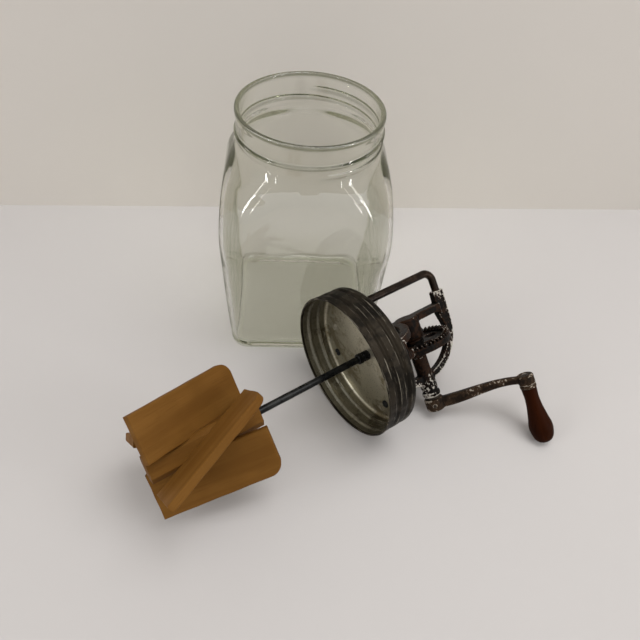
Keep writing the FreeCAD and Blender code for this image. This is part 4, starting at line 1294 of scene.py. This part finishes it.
@dataclass
class LidScrews:
    """Three round headed screws, seen inside the lid, with a driver slot in each head."""

    radius: float = 3.6
    tall: float = 2.2
    shank: float = 1.5
    front_reach: float = 49.5
    side_reach: float = 55.0
    seat: float = 29.2
    shank_tall: float = 6.0
    slots: tuple[float, ...] = (20.0, 75.0, -38.0)
    slot_half: float = 0.45
    slot_deep: float = 0.9

    def head_skin(self, slot_angle: float) -> Skin:
        """One head: a dome over a polar grid, sunk where the slot crosses it.

        The dome's height is tall * sqrt(1 - 0.8 * (distance / radius) squared). The slot
        sinks it by slot_deep / (1 + exp((distance from the slot - slot_half) / 0.05)).

        Args:
            slot_angle: the slot's direction, in degrees.

        Returns:
            The skin of the head with its shank.
        """
        distance = np.linspace(0.06, 1.0, 22)[:, None] * self.radius
        angle = round_angles(64)[None, :]
        x, y = distance * np.cos(angle), distance * np.sin(angle)
        dome = self.tall * np.sqrt(1 - 0.8 * (distance / self.radius) ** 2) + 0 * angle
        across = x * math.sin(math.radians(slot_angle)) - y * math.cos(math.radians(slot_angle))
        sunk = 1.0 / (1.0 + np.exp((np.abs(across) - self.slot_half) / 0.05))
        dome = dome - self.slot_deep * sunk
        top = np.stack([x, y, -dome], axis=-1)
        side = np.stack([x[-1:], y[-1:], np.zeros_like(x[-1:])], axis=-1)
        neck = side * np.array([self.shank / self.radius, self.shank / self.radius, 1.0])
        end = neck + np.array([0, 0, self.shank_tall])
        grid = np.concatenate([top, side, neck, end])[::-1]
        return Skin.from_grid(grid, end[0].mean(axis=0), top[0].mean(axis=0))

    def build(self) -> None:
        """Make the three screws as one piece."""
        seats = ((self.front_reach, 0.0), (0.0, self.side_reach), (0.0, -self.side_reach))
        whole = None
        for (x, y), slot in zip(seats, self.slots):
            skin = self.head_skin(slot)
            skin.points = skin.points + np.array([x, y, self.seat])
            whole = skin if whole is None else whole.joined(skin)
        piece = make_piece("screw_heads", whole, POSE.head(), 30.0)
        dress(piece, Finish.SHAFT_STEEL, "head", "worn_steel", "lid_screws")


@dataclass
class RodHandle:
    """Bent steel rod from the lid, up and over into the frame's socket, with its nut."""

    radius: float = 3.7
    x: float = -44.8
    bend: float = 9.0
    foot: float = 25.8
    level: float = 122.85
    far_x: float = -16.5
    nut_half: float = 6.0
    nut_foot: float = 26.4
    nut_top: float = 29.2

    def build(self) -> None:
        """Sweep a circle along two straight runs joined by a quarter arc.

        Across the sweep, the circle lies in the plane square to the path, whose second
        direction is always the head's Y.
        """
        turn = np.linspace(0.0, np.pi / 2, 17)
        up = np.linspace(self.foot, self.level - self.bend, 30)[:-1]
        over = np.linspace(self.x + self.bend, self.far_x, 10)[1:]
        x = np.concatenate([np.full(len(up), self.x), self.x + self.bend * (1 - np.cos(turn)),
                            over])
        z = np.concatenate([up, self.level - self.bend + self.bend * np.sin(turn),
                            np.full(len(over), self.level)])
        lean = np.concatenate([np.zeros(len(up)), turn, np.full(len(over), np.pi / 2)])
        angle = round_angles(40)[None, :]
        dent = 1 + 0.012 * np.sin(z * 0.31 + x * 0.2)[:, None] * np.cos(2 * angle)
        across = self.radius * np.cos(angle) * dent
        grid = np.stack([x[:, None] - across * np.cos(lean)[:, None],
                         np.broadcast_to(self.radius * np.sin(angle), across.shape),
                         z[:, None] + across * np.sin(lean)[:, None]], axis=-1)[:, ::-1]
        skin = Skin.from_grid(grid, grid[0].mean(axis=0), grid[-1].mean(axis=0))
        rod = make_piece("rod_handle", skin, POSE.head())
        dress(rod, Finish.HANDLE_STEEL, "head", "worn_steel", "wire_handle")
        self.build_nut()

    def build_nut(self) -> None:
        """Six sided nut: a hexagon cut back by a cone at both ends."""
        angle = round_angles(72)[None, :]
        folded = (angle + np.pi / 6) % (np.pi / 3) - np.pi / 6
        hexagon = self.nut_half / np.cos(folded)
        thick = self.nut_top - self.nut_foot
        height = np.array([0.0, 0.0, 0.35, 0.7, thick - 0.7, thick - 0.35, thick, thick])[:, None]
        cone = self.nut_half + 0.05 + np.array([-0.3, 0, 0.55, 1.4, 1.4, 0.55, 0, -0.3])[:, None]
        radius = np.minimum(hexagon, cone)
        radius[0], radius[-1] = self.radius + 0.05, self.radius + 0.05
        grid = np.stack([self.x + radius * np.cos(angle), radius * np.sin(angle),
                         self.nut_foot + np.broadcast_to(height, radius.shape)], axis=-1)
        nut = make_piece("rod_nut", Skin.from_grid(grid, along=True), POSE.head(), 25.0)
        dress(nut, Finish.FITTING_STEEL, "head", "worn_steel", "handle_nut")


@dataclass
class GearFrame:
    """The iron casting and the shaft's bush."""

    voxel: float = 0.62

    def build(self) -> None:
        """Soften the casting's edges, and dress the bush."""
        casting = from_node("frame_casting", "gear_frame", POSE.head(), voxel=self.voxel,
                            smooth_rounds=6)
        dress(casting, Finish.IRON, "head", "black_iron", "gear_frame")
        bush = from_node("shaft_bush", "shaft_bushing", POSE.head(), bevel=0.25)
        dress(bush, Finish.SHAFT_STEEL, "head", "worn_steel", "shaft_bushing")


# Crank and gears

@dataclass
class CrankTrain:
    """Drive gear, crank shaft, washer, crank arm and pins."""

    gear_voxel: float = 0.42
    arm_voxel: float = 0.5

    def build(self) -> None:
        """Dress each piece that turns with the crank."""
        along_shaft = POSE.crank().turned("y", 90)
        gear = from_node("crown_gear", "drive_gear", along_shaft, voxel=self.gear_voxel,
                         smooth_rounds=3)
        dress(gear, Finish.GEAR_IRON, "crank", "black_iron", "drive_gear")
        arm = from_node("crank_casting", "crank_arm", POSE.crank(), voxel=self.arm_voxel,
                        smooth_rounds=6)
        dress(arm, Finish.CRANK_IRON, "crank", "black_iron", "crank_arm")
        for name, node in (("crank_spindle", "crank_shaft"), ("spindle_washer", "crank_washer"),
                           ("knob_rivet", "knob_pin"), ("gear_cross_pin", "gear_pin"),
                           ("crank_cross_pin", "crank_pin")):
            piece = from_node(name, node, along_shaft, bevel=0.2)
            dress(piece, Finish.FITTING_STEEL, "crank", "worn_steel", node)


@dataclass
class PearKnob:
    """Turned wooden grip, and the iron cap at its crank end."""

    start: float = 80.55
    long: float = 59.0
    neck: float = 6.5
    bulge: float = 10.9
    ferrule: float = 7.6
    ferrule_tall: float = 3.2
    bore: float = 2.65
    head_bore: float = 4.25
    head_deep: float = 3.3
    reach: float = 86.5

    def build(self) -> None:
        """Turn the grip from a smooth curve through its radii."""
        place = POSE.crank().moved(z=self.reach).turned("y", 90)
        begin = self.start + self.ferrule_tall
        shares = [(self.neck + 0.35, 0.12), (self.neck, 0.22), (self.neck + 0.5, 0.35),
                  (self.bulge - 1.9, 0.56), (self.bulge, 0.75), (self.bulge * 0.92, 0.86),
                  (self.bulge * 0.78, 0.935), (self.head_bore + 2.0, 0.98),
                  (self.head_bore, 0.992)]
        knots = [(self.ferrule - 0.6, begin)]
        knots += [(radius, self.start + self.long * share) for radius, share in shares]
        side = through(knots, 90)
        deep = self.start + self.long - self.head_deep
        hole = np.array([(self.head_bore, deep), (self.bore, deep), (self.bore, begin)])
        rows = np.concatenate([side, hole])
        skin = Skin.from_grid(round_grid(rows[:, 0], rows[:, 1], 96), along=True)
        knob = make_piece("pear_knob", skin, place, 50.0)
        dress(knob, Finish.KNOB_WOOD, "knob", "knob_wood", "knob")
        cap = from_node("knob_cap", "knob_ferrule", place, bevel=0.3)
        dress(cap, Finish.CRANK_IRON, "knob", "black_iron", "knob_ferrule")


# Dasher

@dataclass
class Dasher:
    """Steel shaft with its pinion and collar, and the wooden hub with four pitched boards."""

    inner: float = 8.0
    reach: float = 47.1
    run: float = 93.2
    thick: float = 6.9
    corner: float = 11.0
    edge: float = 1.1

    def outline(self) -> Array:
        """(x, z) round a board: three square corners and one large round one at the top.

        Returns:
            The points, in order.
        """
        half = self.run / math.cos(math.radians(POSE.blade_pitch)) / 2
        turn = np.linspace(0.0, np.pi / 2, 15)
        top = half - self.corner
        arc = np.stack([self.reach - self.corner + self.corner * np.cos(turn),
                        top + self.corner * np.sin(turn)], axis=-1)
        sides = [np.linspace((self.inner, -half), (self.reach, -half), 14)[:-1],
                 np.linspace((self.reach, -half), (self.reach, top), 30)[:-1], arc,
                 np.linspace((self.reach - self.corner, half), (self.inner, half), 10)[1:-1],
                 np.linspace((self.inner, half), (self.inner, -half), 36)[:-1]]
        return np.concatenate(sides)

    @staticmethod
    def lying(outline: Array, level: Array) -> Array:
        """An (x, z) outline as points, with its levels along Y."""
        return np.stack([outline[:, 0], level, outline[:, 1]], axis=-1)

    def board(self, index: int) -> bpy.types.Object:
        """One board: its outline carried round a soft edge, and closed by rings to the middle.

        Each ring is the outline moved in by e * (1 - cos t) while the level goes to
        half the thickness by e * (1 - sin t), so that the edge is a quarter round.

        Args:
            index: which of the four boards, from 0.

        Returns:
            The piece.
        """
        line = self.outline()
        before, after = np.roll(line, 1, axis=0), np.roll(line, -1, axis=0)
        along = (after - before) / np.linalg.norm(after - before, axis=1)[:, None]
        outward = np.stack([along[:, 1], -along[:, 0]], axis=-1)
        middle = line.mean(axis=0)
        turn = np.linspace(0.0, np.pi / 2, 5)
        wear = self.edge * (1 + 0.35 * np.sin(line[:, 1] * 0.21 + index) *
                            np.cos(line[:, 0] * 0.33 + 2 * index))
        inset, level = [], []
        for t in turn[::-1]:
            inset.append(wear * (1 - math.cos(t)))
            level.append(-self.thick / 2 + wear * (1 - math.sin(t)))
        inset, level = inset + inset[::-1], level + [-row for row in level[::-1]]
        face = np.full(len(line), -self.thick / 2)
        innermost = line - outward * inset[0][:, None]
        first = [self.lying(middle + (innermost - middle) * share, face)
                 for share in (0.25, 0.5, 0.75, 0.93)]
        edge = [self.lying(line - outward * gap[:, None], rise)
                for gap, rise in zip(inset, level)]
        last = [row * np.array([1, -1, 1]) for row in first[::-1]]
        grid = np.stack(first + edge + last)
        pole = np.array([middle[0], -self.thick / 2, middle[1]])
        skin = Skin.from_grid(grid[::-1], pole * np.array([1, -1, 1]), pole)
        return make_piece(f"dasher_board_{index + 1}", skin, POSE.blade(index), 50.0)

    def build(self) -> None:
        """Make the boards, and dress the hub, nail, shaft, collar and pinion."""
        for index in range(4):
            dress(self.board(index), Finish.DASHER_WOOD, "dasher", "dasher_wood",
                  f"dasher_blade_{index + 1}")
        place = POSE.dasher()
        hub = from_node("dasher_block", "dasher_hub", place, bevel=0.5)
        dress(hub, Finish.DASHER_WOOD, "dasher", "dasher_wood", "dasher_hub")
        pinion = from_node("shaft_pinion", "pinion", place, voxel=0.35, smooth_rounds=2)
        dress(pinion, Finish.GEAR_IRON, "dasher", "black_iron", "pinion")
        for name, node, finish in (("dasher_spindle", "dasher_shaft", Finish.SHAFT_STEEL),
                                   ("stop_collar", "shaft_collar", Finish.SHAFT_STEEL),
                                   ("stop_screw", "collar_screw", Finish.SHAFT_STEEL),
                                   ("pinion_cross_pin", "pinion_pin", Finish.FITTING_STEEL),
                                   ("block_nail", "hub_nail", Finish.SHAFT_STEEL)):
            dress(from_node(name, node, place, bevel=0.2), finish, "dasher", "worn_steel", node)


# Studio

@dataclass
class Studio:
    """Pale table and wall, soft lamps and the camera at the photograph's view."""

    camera: Point = (-22.97, -459.44, 479.38)
    heading: float = 6.0
    pitch_down: float = 47.96
    roll: float = -5.67
    focal_px: float = 590.0
    frame_px: float = 640.0
    wall_y: float = 169.0
    wall_turn: float = 2.5
    table: Colour = rgba(0.580, 0.557, 0.547)
    wall: Colour = rgba(0.672, 0.632, 0.588)
    sky: Colour = rgba(1.0, 0.99, 0.97)
    zenith: float = 0.80
    horizon: float = 0.45

    def place_camera(self) -> None:
        """Aim the camera from its heading, downward pitch and roll."""
        heading, pitch = math.radians(self.heading), math.radians(self.pitch_down)
        forward = np.array([math.sin(heading) * math.cos(pitch),
                            math.cos(heading) * math.cos(pitch), -math.sin(pitch)])
        right = np.array([math.cos(heading), -math.sin(heading), 0.0])
        down = np.cross(forward, right)
        c, s = math.cos(math.radians(self.roll)), math.sin(math.radians(self.roll))
        right, down = c * right + s * down, -s * right + c * down
        data = bpy.data.cameras.new("camera")
        data.sensor_width = 36.0
        data.lens = 36.0 * self.focal_px / self.frame_px
        data.clip_start, data.clip_end = 0.01, 20.0
        camera = bpy.data.objects.new("camera", data)
        turn = np.stack([right, -down, -forward], axis=-1)
        matrix = np.eye(4)
        matrix[:3, :3] = turn
        matrix[:3, 3] = np.array(self.camera) * MM
        camera.matrix_world = Matrix(matrix.tolist())
        bpy.context.scene.collection.objects.link(camera)
        bpy.context.scene.camera = camera

    def plain_material(self, name: str, colour: Colour) -> bpy.types.Material:
        """A matt painted surface with a very faint unevenness, see-through from behind.

        Args:
            name: the material's name.
            colour: its colour.

        Returns:
            The material.
        """
        material, tree, shader = new_material(name)
        tone = tree.noise(tree.node("TexCoord").outputs["Object"], scale=3.0, detail=3.0)
        shade = tree.mix(tone, rgba(*(0.97 * value for value in colour[:3])), colour)
        tree.feed(shader, {"Base Color": shade, "Roughness": 0.75, "Specular IOR Level": 0.2})
        behind = tree.node("NewGeometry").outputs["Backfacing"]
        tree.show_mix(behind, shader, tree.node("BsdfTransparent"))
        return material

    def build_stage(self) -> None:
        """Make the table, and the wall that stands on it close behind, a little turned."""
        side, front, back, tall = 4000.0, 4000.0, 1500.0, 2600.0
        turn = turn_about("z", self.wall_turn)
        left, right = (turn @ np.array([x, 0.0, 0.0]) + np.array([0.0, self.wall_y, 0.0])
                       for x in (-side, side))
        up, nearer = np.array([0.0, 0.0, tall]), np.array([0.0, -front, 0.0])
        farther = np.array([0.0, back, 0.0])
        sheets = {"table": ([left + nearer, right + nearer, right + farther, left + farther],
                            self.table),
                  "wall": ([left, right, right + up, left + up], self.wall)}
        for name, (corners, colour) in sheets.items():
            mesh = bpy.data.meshes.new(name)
            mesh.from_pydata([tuple(float(value) for value in corner * MM) for corner in corners],
                             [], [(0, 1, 2, 3)])
            sheet = bpy.data.objects.new(name, mesh)
            mesh.materials.append(self.plain_material(f"{name} paint", colour))
            bpy.context.scene.collection.objects.link(sheet)

    def lamp(self, name: str, position: Point, target: Point, size: tuple[float, float],
             power: float) -> None:
        """A soft rectangular lamp that looks at a target.

        Args:
            name: the lamp's name.
            position: where it is, in metres.
            target: the point that it faces, in metres.
            size: its width and height, in metres.
            power: its power in watts.
        """
        data = bpy.data.lights.new(name, "AREA")
        data.shape, data.size, data.size_y, data.energy = "RECTANGLE", size[0], size[1], power
        lamp = bpy.data.objects.new(name, data)
        away = np.array(position) - np.array(target)
        away = away / np.linalg.norm(away)
        side = np.cross([0.0, 0.0, 1.0], away)
        side = side / np.linalg.norm(side)
        matrix = np.eye(4)
        matrix[:3, :3] = np.stack([side, np.cross(away, side), away], axis=-1)
        matrix[:3, 3] = position
        lamp.matrix_world = Matrix(matrix.tolist())
        bpy.context.scene.collection.objects.link(lamp)

    def build_light(self) -> None:
        """Four strip lamps beside the camera, one soft lamp overhead, and a paler sky above.

        The sky's strength grows from the horizon to the zenith with the height of the ray.
        """
        middle = (0.0, -0.05, 0.15)
        wide, narrow = (0.08, 0.85), (0.025, 0.60)
        self.lamp("left strip", (-1.30, -0.72, 0.72), middle, wide, 4.0)
        self.lamp("right strip", (1.36, -0.74, 0.72), middle, wide, 3.4)
        self.lamp("left inner strip", (-1.02, -1.00, 0.72), middle, narrow, 0.9)
        self.lamp("right inner strip", (1.08, -1.02, 0.72), middle, narrow, 0.8)
        self.lamp("top lamp", (0.42, -0.02, 1.45), (-0.02, -0.10, 0.0), (0.9, 0.9), 11.0)
        world = bpy.data.worlds.new("studio")
        bpy.context.scene.world = world
        world.use_nodes = True
        world.node_tree.nodes.clear()
        tree = Tree(world.node_tree)
        height = tree.level(tree.node("TexCoord").outputs["Generated"])
        strength = tree.node("MapRange", {"Value": height, "From Min": 0.0, "From Max": 1.0,
                                          "To Min": self.horizon, "To Max": self.zenith})
        sky = tree.node("Background", {"Color": self.sky,
                                       "Strength": strength.outputs["Result"]})
        tree.node("OutputWorld", {"Surface": sky.outputs[0]})

    def build(self) -> None:
        """Make the stage, the lamps and the camera."""
        self.build_stage()
        self.build_light()
        self.place_camera()
        bpy.context.scene.view_settings.view_transform = "Standard"


def main() -> None:
    """Build every piece in order."""
    logging.basicConfig(level=logging.INFO, format="%(message)s")
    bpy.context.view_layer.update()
    for builder in (GlassJar(), ScrewLid(), LidScrews(), RodHandle(), GearFrame(), CrankTrain(),
                    PearKnob(), Dasher()):
        builder.build()
    Studio().build()
    bpy.context.view_layer.update()


if __name__ == "__main__":
    main()
